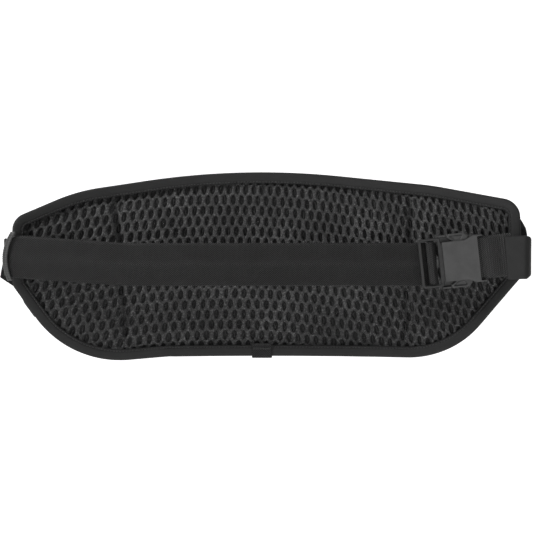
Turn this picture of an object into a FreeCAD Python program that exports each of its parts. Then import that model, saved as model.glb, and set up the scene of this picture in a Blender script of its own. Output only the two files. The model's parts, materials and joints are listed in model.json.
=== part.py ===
"""Money belt: padded back panel with a zipped pocket, webbing strap and side-release buckle.

Frame: origin at the centre of the waist opening, +Z up as worn, +X to the right seen from
the wearer's side, +Y from the strap towards the pocket. Lengths are millimetres.
The panel is bent round a vertical axis, so its layers are shells between two radii.
"""
import FreeCAD
import Part
import math
import os

Vector = FreeCAD.Vector

DIMENSIONS = {
    # panel
    "panel_radius": 439.0,       # wearer's face of the panel, from the bending axis
    "panel_face": 22.0,          # where that face crosses the Y axis
    "mesh_thick": 2.6,
    "foam_thick": 4.9,
    "backing_thick": 0.8,
    "layer_gap": 0.3,
    "edge_inset": 1.1,           # cut edge of the layers, inside the binding
    "foam_inset": 9.0,
    "channel_left": -105.0,      # stitched channels between the foam pads
    "channel_right": 102.0,
    "channel_width": 4.0,
    "binding_thick": 0.8,
    "binding_width": 8.0,
    # pocket
    "pocket_inset": 8.4,
    "pocket_rim": 10.5,          # pocket shell at its rim, outside panel_radius
    "pocket_bulge": 14.0,
    "pocket_half_height": 60.0,
    "pocket_wall": 1.0,
    "taper_radius": 270.5,       # the cylinder that draws the pocket in towards its ends
    "taper_centre": -208.8,
    # zip
    "zip_height": 30.0,
    "zip_half_angle": 15.6,
    "zip_window": 13.0,
    "zip_travel_half": 13.5,
    # webbing
    "webbing_width": 30.0,
    "webbing_thick": 1.6,
    "run_plane": -26.0,          # middle of the main strap
    "tail_plane": -24.2,
    "flap_plane": -30.0,
    "leg_radius": 436.5,         # sewn ends of strap and flap, on the wearer's face
    "left_turn": 3.4,
    "right_turn": 5.44,
    "tab_width": 14.5,
    "tab_thick": 0.8,
    # buckle
    "buckle_x": 123.0,
    "buckle_y": -29.1,
    "buckle_z": 4.7,
    "buckle_tilt": 6.5,
    "plate_thick": 1.7,
    "plate_gap": 5.6,
    "plug_thick": 4.0,
    "bar_radius": 1.5,
    "bar_station": 27.2,
    "wrap_bar_radius": 1.3,
    "wrap_bar_station": -8.0,
    "wrap_clearance": 0.25,
}

doc = FreeCAD.newDocument("MoneyBelt")
sheet = doc.addObject("Spreadsheet::Sheet", "dims")
for row, (alias, number) in enumerate(DIMENSIONS.items(), start=1):
    sheet.set("A%d" % row, alias)
    sheet.set("B%d" % row, str(number))
    sheet.setAlias("B%d" % row, alias)
doc.recompute()

UP = Vector(0, 0, 1)
FRONT_VIEW = FreeCAD.Rotation(Vector(1, 0, 0), 90)     # sketch x, y become X, Z
SIDE_VIEW = FreeCAD.Rotation(Vector(1, 1, 1), 120)     # sketch x, y become Y, Z
PLAN_VIEW = FreeCAD.Rotation()
TALL = 400.0                                           # longer than the belt is deep or high
axis_y = sheet.panel_face - sheet.panel_radius         # the bending axis, at x = 0

parts = []


# ---------------------------------------------------------------- construction helpers

def bind(obj, **expressions):
    """Bind properties of obj to expressions on the sheet's cells."""
    for prop, expression in expressions.items():
        obj.setExpression(prop, expression)
    return obj


def corner_arc(before, corner, after, radius):
    """Start, middle and end of the arc that rounds a corner of a polyline."""
    towards = (before - corner).normalize()
    onwards = (after - corner).normalize()
    half = towards.getAngle(onwards) / 2
    reach = radius / math.tan(half)
    centre = corner + (towards + onwards).normalize() * (radius / math.sin(half))
    middle = centre + (corner - centre).normalize() * radius
    return corner + towards * reach, middle, corner + onwards * reach


def sketch(name, points, rotation, base=Vector(), closed=True):
    """Sketch of straight runs; a point (x, y, r) is rounded with radius r."""
    obj = doc.addObject("Sketcher::SketchObject", name)
    obj.Placement = FreeCAD.Placement(base, rotation)
    corners = [Vector(point[0], point[1], 0) for point in points]
    radii = [point[2] if len(point) > 2 else 0 for point in points]
    count = len(corners)
    starts = []
    ends = []
    for index, corner in enumerate(corners):
        rounded = radii[index] > 0
        if rounded:
            first, middle, last = corner_arc(corners[index - 1], corner,
                                             corners[(index + 1) % count], radii[index])
            obj.addGeometry(Part.Arc(first, middle, last), False)
        else:
            first = last = corner
        starts.append(first)
        ends.append(last)
    for index in range(count if closed else count - 1):
        following = starts[(index + 1) % count]
        if ends[index].distanceToPoint(following) > 1e-6:
            obj.addGeometry(Part.LineSegment(ends[index], following), False)
    return obj


def extrude(name, profile, direction, length=TALL):
    """Solid made by moving a profile half its length each way; length may be an expression."""
    obj = doc.addObject("Part::Extrusion", name)
    obj.Base = profile
    obj.DirMode = "Custom"
    obj.Dir = direction
    obj.Solid = True
    obj.Symmetric = True
    if isinstance(length, str):
        bind(obj, LengthFwd=length)
    else:
        obj.LengthFwd = length
    return obj


def offset(name, source, expression, fill=False):
    """Line at a distance from a closed profile or, filled, the band round an open path."""
    obj = doc.addObject("Part::Offset2D", name)
    obj.Source = source
    obj.Mode = "Pipe"
    obj.Fill = fill
    return bind(obj, Value=expression)


def common(name, *shapes):
    obj = doc.addObject("Part::MultiCommon", name)
    obj.Shapes = list(shapes)
    return obj


def fuse(name, *shapes):
    obj = doc.addObject("Part::MultiFuse", name)
    obj.Shapes = list(shapes)
    return obj


def cut(name, base, tool):
    obj = doc.addObject("Part::Cut", name)
    obj.Base = base
    obj.Tool = tool
    return obj


def cylinder(name, radius, centre_y="dims.panel_face - dims.panel_radius"):
    obj = doc.addObject("Part::Cylinder", name)
    obj.Height = TALL
    obj.Placement.Base = Vector(0, 0, -TALL / 2)
    return bind(obj, Radius=radius, **{"Placement.Base.y": centre_y})


def shell(name, inner, outer):
    """Tube round the bending axis between two radii."""
    return cut(name, cylinder(name + "_outer", outer), cylinder(name + "_inner", inner))


def box(name, low, high, placement=None):
    obj = doc.addObject("Part::Box", name)
    obj.Length = high[0] - low[0]
    obj.Width = high[1] - low[1]
    obj.Height = high[2] - low[2]
    local = FreeCAD.Placement(Vector(*low), FreeCAD.Rotation())
    obj.Placement = placement.multiply(local) if placement else local
    return obj


def ribbon(name, points, width_expression, thick_expression, direction=UP, rotation=PLAN_VIEW,
           base=Vector()):
    """Flat band that follows an open path."""
    path = sketch(name + "_path", points, rotation, base, closed=False)
    band = offset(name + "_band", path, thick_expression + " / 2", fill=True)
    return extrude(name + "_ribbon", band, direction, width_expression)


def part(obj, label):
    """Name a finished sub-part."""
    obj.Label = label
    parts.append(obj)
    return obj


# ---------------------------------------------------------------- panel layers

LOWER_EDGE = -66.3
PANEL_OUTLINE = [
    (-178.8, 34.5, 12), (-135.0, 53.6, 120), (-17.7, 71.2, 560), (118.0, 57.6, 200),
    (178.0, 46.6, 13), (180.0, -5.8, 9), (132.4, LOWER_EDGE, 65), (-60.0, LOWER_EDGE, 150),
    (-141.0, -70.0, 72), (-178.8, -12.6, 6),
]

outline = sketch("panel_outline", PANEL_OUTLINE, FRONT_VIEW)
outline_prism = extrude("outline_prism", outline, Vector(0, 1, 0))


def inset_prism(name, expression):
    """The panel's outline, drawn in by a distance, as a prism through the belt."""
    return extrude(name, offset(name + "_line", outline, "-(" + expression + ")"), Vector(0, 1, 0))


layer_prism = inset_prism("layer_prism", "dims.edge_inset")
foam_prism = inset_prism("foam_prism", "dims.foam_inset")
binding_line_prism = inset_prism("binding_line_prism", "dims.binding_width")
binding_void_prism = inset_prism("binding_void_prism", "dims.binding_thick")

MESH_BACK = "dims.panel_radius + dims.mesh_thick"
FOAM_FACE = MESH_BACK + " + dims.layer_gap"
FOAM_BACK = FOAM_FACE + " + dims.foam_thick"
BACKING_FACE = FOAM_BACK + " + dims.layer_gap"
BACKING_BACK = BACKING_FACE + " + dims.backing_thick"


def panel_layers():
    mesh_shell = shell("mesh_shell", "dims.panel_radius", MESH_BACK)
    part(common("mesh", mesh_shell, layer_prism), "spacer_mesh")
    backing_shell = shell("backing_shell", BACKING_FACE, BACKING_BACK)
    part(common("backing", backing_shell, layer_prism), "backing_fabric")


def foam_pads():
    half_channel = sheet.channel_width / 2
    stations = {
        "foam_left": (-200.0, sheet.channel_left - half_channel),
        "foam_centre": (sheet.channel_left + half_channel, sheet.channel_right - half_channel),
        "foam_right": (sheet.channel_right + half_channel, 200.0),
    }
    foam_shell = shell("foam_shell", FOAM_FACE, FOAM_BACK)
    for label, (left, right) in stations.items():
        slab = box(label + "_slab", (left, -100, -100), (right, 100, 100))
        part(common(label, foam_shell, foam_prism, slab), label)


def edge_binding():
    """Tape folded over the edge of the layers: two legs and the fold between them."""
    clear = "dims.layer_gap"
    inner = "dims.panel_radius - " + clear
    outer = BACKING_BACK + " + " + clear
    around = shell("binding_shell", inner + " - dims.binding_thick", outer + " + dims.binding_thick")
    blank = common("binding_blank", around, outline_prism)
    inside = common("binding_inside", shell("binding_void", inner, outer), binding_void_prism)
    hollow = cut("binding_hollow", blank, inside)
    part(cut("binding", hollow, binding_line_prism), "edge_binding")


# ---------------------------------------------------------------- pocket

def crown_radius(shrink=0.0):
    """Radius of the arc that crowns the pocket from top to bottom."""
    half = sheet.pocket_half_height
    bulge = sheet.pocket_bulge
    return (half * half + bulge * bulge) / (2 * bulge) - shrink


def crown(name, shrink):
    """Solid of revolution about the bending axis, with a crowned outer face."""
    radius = crown_radius(shrink)
    rim = sheet.panel_radius + sheet.pocket_rim
    apex = rim + sheet.pocket_bulge - shrink
    centre = Vector(apex - radius, 0, 0)
    half = sheet.pocket_half_height - shrink
    angle = math.asin(half / radius)
    edge = centre.x + radius * math.cos(angle)
    core = sheet.panel_radius - 10
    profile = doc.addObject("Sketcher::SketchObject", name + "_profile")
    profile.Placement = FreeCAD.Placement(Vector(0, axis_y, 0), FRONT_VIEW)
    profile.addGeometry(Part.ArcOfCircle(Part.Circle(centre, UP, radius), -angle, angle), False)
    rim_points = [Vector(edge, half, 0), Vector(core, half, 0), Vector(core, -half, 0),
                  Vector(edge, -half, 0)]
    for start, end in zip(rim_points, rim_points[1:]):
        profile.addGeometry(Part.LineSegment(start, end), False)
    obj = doc.addObject("Part::Revolution", name)
    obj.Source = profile
    obj.Base = Vector(0, axis_y, 0)
    obj.Axis = UP
    obj.Angle = 360
    obj.Solid = True
    return obj


def zip_frame(turn=0.0):
    """Placement at the zip: local X along it, local Y out of the pocket, local Z up the face."""
    radius = crown_radius()
    lean = math.asin(sheet.zip_height / radius)
    reach = sheet.panel_radius + sheet.pocket_rim + sheet.pocket_bulge
    reach -= radius * (1 - math.cos(lean))
    tilt = FreeCAD.Rotation(Vector(1, 0, 0), math.degrees(lean))
    upright = FreeCAD.Placement(Vector(0, reach, sheet.zip_height), tilt)
    swing = FreeCAD.Placement(Vector(0, axis_y, 0), FreeCAD.Rotation(UP, -turn))
    return swing.multiply(upright)


def zip_band(name, low, high, half_angle):
    """Band swept along the zip; low and high are (out of the pocket, up the face)."""
    frame = zip_frame()
    places = [frame.multVec(Vector(0, y, z)) for y, z in
              ((low[0], low[1]), (high[0], low[1]), (high[0], high[1]), (low[0], high[1]))]
    points = [(place.y - axis_y, place.z) for place in places]
    upright = FreeCAD.Rotation(UP, 90 - half_angle).multiply(FRONT_VIEW)
    profile = sketch(name + "_profile", points, upright, Vector(0, axis_y, 0))
    obj = doc.addObject("Part::Revolution", name)
    obj.Source = profile
    obj.Base = Vector(0, axis_y, 0)
    obj.Axis = UP
    obj.Angle = 2 * half_angle
    obj.Solid = True
    return obj


def pocket():
    outer = common("pocket_outer", crown("crown_outer", 0),
                   cylinder("taper_outer", "dims.taper_radius", "dims.taper_centre"),
                   inset_prism("pocket_prism", "dims.pocket_inset"),
                   shell("pocket_body", BACKING_BACK + " + dims.layer_gap", "dims.panel_radius + 40"))
    inner = common("pocket_inner", crown("crown_inner", sheet.pocket_wall),
                   cylinder("taper_inner", "dims.taper_radius - dims.pocket_wall",
                            "dims.taper_centre"),
                   inset_prism("pocket_space", "dims.pocket_inset + dims.pocket_wall"))
    half = sheet.zip_window / 2
    window = zip_band("zip_window", (-4, -half), (4, half), sheet.zip_half_angle - 0.4)
    part(cut("pocket_skin", cut("pocket_tray", outer, inner), window), "pocket_front")


def zip_closure():
    """Tapes and coils on each side of the closing line, and the stops at its ends."""
    span = sheet.zip_half_angle
    part(zip_band("tape_up", (-2.9, 2.3), (-2.3, 10.5), span), "zip_tape_upper")
    part(zip_band("tape_down", (-2.9, -10.5), (-2.3, -2.3), span), "zip_tape_lower")
    part(zip_band("coil_up", (-3.4, 0.55), (-1.5, 2.25), span - 1.0), "zip_coil_upper")
    part(zip_band("coil_down", (-3.4, -2.25), (-1.5, -0.55), span - 1.0), "zip_coil_lower")
    top = zip_frame(-(span - 0.6))
    upper = box("stop_up", (-1.2, -3.5, 0.6), (1.2, -1.4, 2.2), top)
    lower = box("stop_down", (-1.2, -3.5, -2.2), (1.2, -1.4, -0.6), top)
    part(fuse("stops", upper, lower), "zip_top_stops")
    part(box("stop_end", (-1.2, -3.5, -2.2), (1.2, -1.4, 2.2), zip_frame(span - 0.6)),
         "zip_bottom_stop")


def zip_slider():
    place = zip_frame(-sheet.zip_travel_half)
    half = 4.2
    plate = box("slider_plate", (-half, -1.3, -3.6), (half, -0.3, 3.6), place)
    floor = box("slider_floor", (-half, -4.7, -3.6), (half, -3.6, 3.6), place)
    post = box("slider_post", (-half + 1, -3.6, -0.4), (-half + 3.0, -1.3, 0.4), place)
    lips = []
    for side in (-1, 1):
        near, far = sorted((side * 2.5, side * 3.6))
        lips.append(box("slider_lip", (-half, -2.15, near), (half, -1.3, far), place))
        lips.append(box("slider_rim", (-half, -3.6, near), (half, -3.1, far), place))
    bail = []
    for side in (-1, 1):
        near, far = sorted((side * 1.7, side * 2.9))
        bail.append(box("slider_ear", (near, -0.3, -1.1), (far, 2.5, 1.1), place))
    pin = doc.addObject("Part::Cylinder", "slider_pin")
    pin.Radius = 0.6
    pin.Height = 3.6
    pin.Placement = place.multiply(FreeCAD.Placement(Vector(-1.8, 1.3, 0),
                                                     FreeCAD.Rotation(Vector(0, 1, 0), 90)))
    part(fuse("slider", plate, floor, post, pin, *lips, *bail), "zip_slider")


PULL_REST = -2.0


def zip_puller():
    """Tab that hangs from the slider's pin, with a moulded grip on its end."""
    place = zip_frame(-sheet.zip_travel_half)
    hang = FreeCAD.Placement(Vector(0, 1.3, 0), FreeCAD.Rotation(Vector(1, 0, 0), PULL_REST))
    place = place.multiply(hang)
    eye = doc.addObject("Part::Cylinder", "pull_eye")
    eye.Radius = 1.15
    eye.Height = 3.0
    eye_hole = doc.addObject("Part::Cylinder", "pull_hole")
    eye_hole.Radius = 0.66
    eye_hole.Height = 3.4
    across = FreeCAD.Rotation(Vector(0, 1, 0), 90)
    eye.Placement = place.multiply(FreeCAD.Placement(Vector(-1.5, 0, 0), across))
    eye_hole.Placement = place.multiply(FreeCAD.Placement(Vector(-1.7, 0, 0), across))
    neck = box("pull_neck", (-1.5, -0.5, -6.0), (1.5, 0.5, -0.9), place)
    blade = box("pull_blade", (-2.6, -0.5, -20.0), (2.6, 0.5, -5.0), place)
    tab = fuse("pull_metal", eye, neck, blade)
    part(cut("pull", tab, eye_hole), "puller_tab")
    grip = box("grip_body", (-3.6, -1.2, -25.0), (3.6, 1.2, -11.0), place)
    sleeve = box("grip_sleeve", (-2.65, -0.55, -20.05), (2.65, 0.55, -10.0), place)
    part(cut("grip", grip, sleeve), "puller_grip")


# ---------------------------------------------------------------- wings and webbing

WING_FACE = BACKING_BACK + " + 2 * dims.layer_gap + dims.binding_thick"
LEFT_WING = [(-176, 24), (-183, 12), (-186.6, 3.4), (-188.7, -7.2), (-177, -15.9),
             (-172.5, -26), (-166, -36), (-150, -40), (-150, 24)]
RIGHT_WING = [(172, 45), (180.5, 33.3), (183.7, 27.6), (184.6, 23), (184.6, 6),
              (181, -5), (168, -18), (150, -18), (150, 45)]


def wings():
    """Fabric corners that carry the pocket's seam out to the sewn strap ends."""
    skin = shell("wing_shell", WING_FACE, WING_FACE + " + 1.4")
    for label, points in (("wing_left", LEFT_WING), ("wing_right", RIGHT_WING)):
        prism = extrude(label + "_prism", sketch(label + "_line", points, FRONT_VIEW),
                        Vector(0, 1, 0))
        part(cut(label, common(label + "_blank", skin, prism), binding_line_prism), label)


def leg_line(x):
    """Y of the sewn ends at x: a straight run that touches leg_radius at |x| = 170."""
    touch = 170.0
    depth = math.sqrt(sheet.leg_radius ** 2 - touch ** 2)
    return axis_y + depth - (abs(x) - touch) * touch / depth


def leg_corner(plane, side):
    """Where the run at a given plane meets the line of its sewn end."""
    touch = 170.0
    depth = math.sqrt(sheet.leg_radius ** 2 - touch ** 2)
    return side * (touch + (axis_y + depth - plane) * depth / touch)


STRAP_RIGHT = 117.6
TAIL_LEFT = 28.0
STRAP_LINE = [(-200, 10.0), (-98.8, 2.85, 160), (140, 2.8)]


def straps():
    corner = leg_corner(sheet.run_plane, -1)
    run = ribbon("strap", [(STRAP_RIGHT, sheet.run_plane), (corner, sheet.run_plane, sheet.left_turn),
                           (-162, leg_line(-162))], TALL, "dims.webbing_thick")
    line = sketch("strap_line", STRAP_LINE, FRONT_VIEW, closed=False)
    edges = extrude("strap_edges", offset("strap_outline", line, "dims.webbing_width / 2", fill=True),
                    Vector(0, 1, 0))
    part(common("strap", run, edges), "main_strap")
    half = sheet.webbing_thick / 2
    layer = box("tail_layer", (TAIL_LEFT, sheet.tail_plane - half, -100),
                (STRAP_RIGHT, sheet.tail_plane + half, 100))
    part(common("tail", layer, edges), "strap_tail")


FLAP_OUTLINE = [(165.3, 22.5), (195, 22.9, 0), (195, 3.0), (181.3, -7.2), (168.1, -7.5)]


def flap():
    corner = leg_corner(sheet.flap_plane, 1)
    run = ribbon("flap", [(160, sheet.flap_plane), (corner, sheet.flap_plane, sheet.right_turn),
                          (160, leg_line(160))], TALL, "dims.webbing_thick")
    trim = extrude("flap_trim", sketch("flap_line", FLAP_OUTLINE, FRONT_VIEW), Vector(0, 1, 0))
    part(common("flap", run, trim), "right_flap")


def bottom_tab():
    """Short webbing folded under the panel's lower edge."""
    front = sheet.panel_face - sheet.layer_gap - sheet.binding_thick - 0.7
    layers = sheet.mesh_thick + sheet.foam_thick + sheet.backing_thick
    back = sheet.panel_face + layers + 3 * sheet.layer_gap + sheet.binding_thick + 0.8
    low = LOWER_EDGE - 0.8
    points = [(front, low + 10), (front, low, 0.7), (back, low, 0.7), (back, low + 8)]
    band = ribbon("tab", points, "dims.tab_width", "dims.tab_thick", Vector(1, 0, 0), SIDE_VIEW,
                  Vector(-3.25, 0, 0))
    part(band, "bottom_tab")


# ---------------------------------------------------------------- buckle

buckle_place = FreeCAD.Placement(
    Vector(sheet.buckle_x, sheet.buckle_y, sheet.buckle_z),
    FreeCAD.Rotation(Vector(0, -1, 0), sheet.buckle_tilt))
THROUGH = Vector(0, 1, 0)


def mirrored(points):
    """Closed outline from its upper half, from left to right."""
    lower = [(point[0], -point[1]) + tuple(point[2:]) for point in reversed(points)]
    return list(points) + lower


def slab(name, points, depth, middle=0.0):
    """Outline in the buckle's own front view, given a thickness about its middle plane."""
    profile = sketch(name + "_outline", points, FRONT_VIEW, Vector(0, middle, 0))
    return extrude(name + "_slab", profile, THROUGH, depth)


def seat(obj, label):
    """Set a finished buckle piece in its place on the belt."""
    obj.Placement = buckle_place
    return part(obj, label)


FRONT_PLATE = [(0, 13.9, 0.8), (16.5, 13.9, 5.0), (21.0, 16.4, 4.0), (28.6, 16.4, 0.8),
               (28.6, 15.3), (24.9, 15.3, 0.5)]
BACK_PLATE = [(-2.4, 18.5, 0.8), (5.6, 18.5, 2.5), (7.4, 13.9, 1.5), (16.5, 13.9, 5.0),
              (21.0, 16.4, 4.0), (28.6, 16.4, 0.8), (28.6, 15.3), (24.9, 15.3, 0.5)]
MOUTH_WALL = [(-2.4, 17.4), (-2.4, 17.9), (-1.6, 18.5), (3.4, 18.5), (3.4, 17.4)]
EAR_WALL = [(19.6, 15.3), (21.0, 16.3), (28.6, 16.4, 0.8), (28.6, 15.3)]


def upper_and_lower(points):
    return points, [(point[0], -point[1]) + tuple(point[2:]) for point in reversed(points)]


def socket():
    """Female half: two plates, the ears that hold its bar, and the walls at its mouth."""
    plate_middle = (sheet.plate_gap + sheet.plate_thick) / 2
    pieces = [
        slab("socket_front", mirrored(FRONT_PLATE), "dims.plate_thick", -plate_middle),
        slab("socket_back", mirrored(BACK_PLATE), "dims.plate_thick", plate_middle),
    ]
    for name, outline_points in (("mouth", MOUTH_WALL), ("ear", EAR_WALL)):
        for points in upper_and_lower(outline_points):
            depth = "dims.plate_gap + dims.plate_thick"
            pieces.append(slab("socket_" + name, points, depth))
    stop = [(21.4, 15.3), (22.7, 15.3), (22.7, -15.3), (21.4, -15.3)]
    pieces.append(slab("socket_stop", stop, "dims.plate_gap + dims.plate_thick"))
    bar = doc.addObject("Part::Cylinder", "socket_bar")
    bar.Height = 31.6
    bind(bar, Radius="dims.bar_radius")
    bar.Placement.Base = Vector(sheet.bar_station, 0, -15.8)
    pieces.append(bar)
    seat(fuse("socket", *pieces), "buckle_socket")


def ladder_slots():
    """Two slots of the ladder lock, with the round bar left standing between them."""
    slot = [(-14.1, 15.5, 1.0), (-2.9, 15.5, 1.0), (-2.9, -15.5, 1.0), (-14.1, -15.5, 1.0)]
    return slab("ladder_opening", slot, 20)


def plug():
    """Male half: ladder lock, tongue and guide prong."""
    frame = slab("ladder_frame", mirrored([(-16.3, 17.2, 2.6), (-0.8, 17.2, 1.2), (-0.8, 13.4),
                                           (2.2, 13.4, 1.0)]), "dims.plug_thick")
    bar = doc.addObject("Part::Cylinder", "ladder_bar")
    bar.Height = 32.0
    bar.Placement.Base = Vector(sheet.wrap_bar_station, 0, -16.0)
    bind(bar, Radius="dims.wrap_bar_radius")
    prong = slab("prong", mirrored([(1.0, 2.2), (20.6, 2.2, 1.0)]), "dims.plug_thick")
    opened = cut("ladder_open", frame, ladder_slots())
    seat(fuse("plug", opened, bar, prong), "buckle_plug")


ARM_BLADE = [(2.35, 12.9), (2.35, 10.6), (8.0, 10.9), (17.5, 13.2), (19.2, 15.6, 0.8),
             (16.2, 18.9, 1.5), (3.8, 18.8, 0.5), (3.8, 16.4, 0.5), (8.6, 13.5, 0.6), (6.0, 12.9)]
ARM_RECESS = [(9.2, 14.5), (5.2, 17.3, 0.4), (15.4, 17.6, 0.8), (13.4, 14.2)]


def squeeze_arms():
    """Spring arms with the pads that are pressed to open the buckle."""
    for label, side in (("squeeze_arm_upper", 1), ("squeeze_arm_lower", -1)):
        blade_points = [(point[0], side * point[1]) + tuple(point[2:]) for point in ARM_BLADE]
        recess_points = [(point[0], side * point[1]) + tuple(point[2:]) for point in ARM_RECESS]
        blade = slab(label + "_blade", blade_points, "dims.plug_thick")
        for face in (-1, 1):
            hollow = slab(label + "_recess", recess_points, 1.6, face * sheet.plug_thick / 2)
            blade = cut(label + "_cut", blade, hollow)
        seat(blade, label)


def looped_webbing():
    """Webbing folded round the plug's bar and round the socket's bar."""
    wrap_radius = sheet.wrap_bar_radius + sheet.wrap_clearance + sheet.webbing_thick / 2
    station = sheet.wrap_bar_station
    leg_end = sheet.run_plane - sheet.webbing_thick / 2 - sheet.layer_gap - sheet.buckle_y
    leg_end -= sheet.webbing_thick / 2
    left = station - wrap_radius
    right = station + wrap_radius
    near = -wrap_radius
    wrap = ribbon("wrap", [(left, leg_end), (left, near, wrap_radius - 0.01),
                           (right, near, wrap_radius - 0.01), (right, leg_end)],
                  "dims.webbing_width", "dims.webbing_thick")
    seat(wrap, "strap_wrap")
    turn = sheet.bar_radius + sheet.wrap_clearance + sheet.webbing_thick / 2
    left = sheet.bar_station - turn
    front_leg = turn - sheet.webbing_thick - 0.1
    loop = ribbon("loop", [(49, front_leg), (39.5, front_leg, 8), (32.0, -turn, 12),
                           (left, -turn, turn - 0.01), (left, turn, turn - 0.01), (49, turn)],
                  "dims.webbing_width", "dims.webbing_thick")
    seat(loop, "buckle_webbing")


# ---------------------------------------------------------------- keeper and stitching

KEEPER_SLOPE = math.degrees(math.atan2(STRAP_LINE[0][1] - STRAP_LINE[1][1],
                                       STRAP_LINE[1][0] - STRAP_LINE[0][0]))


def keeper():
    """Elastic loop round the strap, bowed where it leaves the fold."""
    place = FreeCAD.Placement(Vector(-179.4, sheet.run_plane, 8.55),
                              FreeCAD.Rotation(Vector(0, 1, 0), KEEPER_SLOPE))
    half = sheet.webbing_width / 2
    bow = doc.addObject("Sketcher::SketchObject", "keeper_bow")
    bow.Placement = FreeCAD.Placement(Vector(0, -1.75, 0), FRONT_VIEW)
    outer = Part.Arc(Vector(1.0, half + 1.8, 0), Vector(-4.2, 0, 0), Vector(1.0, -half - 1.8, 0))
    inner = Part.Arc(Vector(2.4, half + 1.8, 0), Vector(0.4, 0, 0), Vector(2.4, -half - 1.8, 0))
    bow.addGeometry(outer, False)
    bow.addGeometry(inner, False)
    for side in (-1, 1):
        height = side * (half + 1.8)
        bow.addGeometry(Part.LineSegment(Vector(1.0, height, 0), Vector(2.4, height, 0)), False)
    band = extrude("keeper_band", bow, Vector(0, 1, 0), 1.1)
    ring = box("keeper_ring", (0.4, -2.3, -half - 1.8), (2.4, 2.3, half + 1.8))
    hole = box("keeper_hole", (-8, -1.2, -half - 0.6), (8, 1.2, half + 0.6))
    obj = cut("keeper", fuse("keeper_loop", band, ring), hole)
    obj.Placement = place
    part(obj, "strap_keeper")


def bar_tacks():
    """Dense stitch bars on the webbing ends."""
    front_leg = sheet.bar_radius + sheet.wrap_clearance - sheet.webbing_thick / 2 - 0.1
    stub_face = front_leg - sheet.webbing_thick / 2
    tab_face = sheet.panel_face - sheet.layer_gap - sheet.binding_thick - 1.1
    on_stub = box("tack_stub", (41.6, stub_face - 0.3, -13.0), (42.6, stub_face, 13.0), buckle_place)
    on_tab = box("tack_tab", (-9.4, tab_face - 0.3, -59.6), (2.9, tab_face, -58.2))
    part(fuse("tacks", on_stub, on_tab), "bar_tacks")


panel_layers()
foam_pads()
edge_binding()
pocket()
zip_closure()
zip_slider()
zip_puller()
wings()
straps()
flap()
bottom_tab()
socket()
plug()
squeeze_arms()
looped_webbing()
keeper()
bar_tacks()


# ---------------------------------------------------------------- check and export

doc.recompute()
for obj in doc.Objects:
    if "Invalid" in obj.State or "Error" in obj.State:
        raise RuntimeError("failed: %s %s" % (obj.Name, obj.State))
for obj in parts:
    if obj.Shape.isNull() or not obj.Shape.isValid() or not obj.Shape.Solids:
        raise RuntimeError("bad shape: " + obj.Label)
os.makedirs("parts", exist_ok=True)
for obj in parts:
    obj.Shape.exportStep("parts/%s.step" % obj.Label)
    print("%-20s solids %d  volume %.1f mm3" % (obj.Label, len(obj.Shape.Solids), obj.Shape.Volume))
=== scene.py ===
"""Looks of the money belt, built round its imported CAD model. Metres, in the model's frame.

+X runs along the belt, +Y from the strap towards the pocket, +Z up. The panel is bent round a
vertical axis behind the wearer, so most pieces are placed by elevation (x, z) and radius.
"""
import json
import math

import bpy
import numpy as np
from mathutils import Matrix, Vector

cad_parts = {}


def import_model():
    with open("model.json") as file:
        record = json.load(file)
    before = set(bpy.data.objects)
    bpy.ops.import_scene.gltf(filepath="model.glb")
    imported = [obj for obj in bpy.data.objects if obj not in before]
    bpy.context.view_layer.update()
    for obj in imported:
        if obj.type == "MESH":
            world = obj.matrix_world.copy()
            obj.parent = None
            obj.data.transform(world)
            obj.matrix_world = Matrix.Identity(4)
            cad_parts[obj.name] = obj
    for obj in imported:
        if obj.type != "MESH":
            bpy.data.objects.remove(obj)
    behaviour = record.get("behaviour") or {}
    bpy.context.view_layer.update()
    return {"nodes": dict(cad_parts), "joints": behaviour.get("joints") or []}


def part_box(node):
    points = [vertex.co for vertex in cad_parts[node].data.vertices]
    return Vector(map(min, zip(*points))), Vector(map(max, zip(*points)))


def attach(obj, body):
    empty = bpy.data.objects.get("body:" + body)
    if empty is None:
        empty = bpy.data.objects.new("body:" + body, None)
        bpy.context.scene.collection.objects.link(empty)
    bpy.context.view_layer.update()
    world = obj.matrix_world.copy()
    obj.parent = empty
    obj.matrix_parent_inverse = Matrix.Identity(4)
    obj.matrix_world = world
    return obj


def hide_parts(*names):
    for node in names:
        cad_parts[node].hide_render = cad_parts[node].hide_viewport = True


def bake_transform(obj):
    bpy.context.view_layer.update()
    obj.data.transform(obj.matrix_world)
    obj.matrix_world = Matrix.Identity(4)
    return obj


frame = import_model()

MM = 0.001
random = np.random.default_rng(7)

# ------------------------------------------------------------------ camera

CAMERA_DISTANCE = 1.3
CAMERA_ELEVATION = math.radians(3.0)
CAMERA_LENS = 123.3


def make_camera():
    data = bpy.data.cameras.new("camera")
    data.lens = CAMERA_LENS
    data.sensor_width = 36.0
    camera = bpy.data.objects.new("camera", data)
    bpy.context.scene.collection.objects.link(camera)
    camera.location = (0, -CAMERA_DISTANCE * math.cos(CAMERA_ELEVATION),
                       CAMERA_DISTANCE * math.sin(CAMERA_ELEVATION))
    camera.rotation_euler = (math.radians(90) - CAMERA_ELEVATION, 0, 0)
    bpy.context.scene.camera = camera


make_camera()

# ------------------------------------------------------------------ places taken from the frame

PANEL_RADIUS = 439.0 * MM            # wearer's face of the panel, from the bending axis
MESH_THICK = 2.6 * MM
bend_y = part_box("spacer_mesh")[1].y - PANEL_RADIUS - MESH_THICK
joints = {joint["name"]: joint for joint in frame["joints"]}

CHANNELS = (-105.0 * MM, 102.0 * MM)  # stitched channels between the foam pads
RIB_PITCH = 1.7 * MM                 # of the webbing's ribs
RIB_LEAN = 1.25                      # how far a rib runs along for each step across
OUTLINE_STEP = 1.5 * MM              # greatest gap between points of the panel's outline

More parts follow.
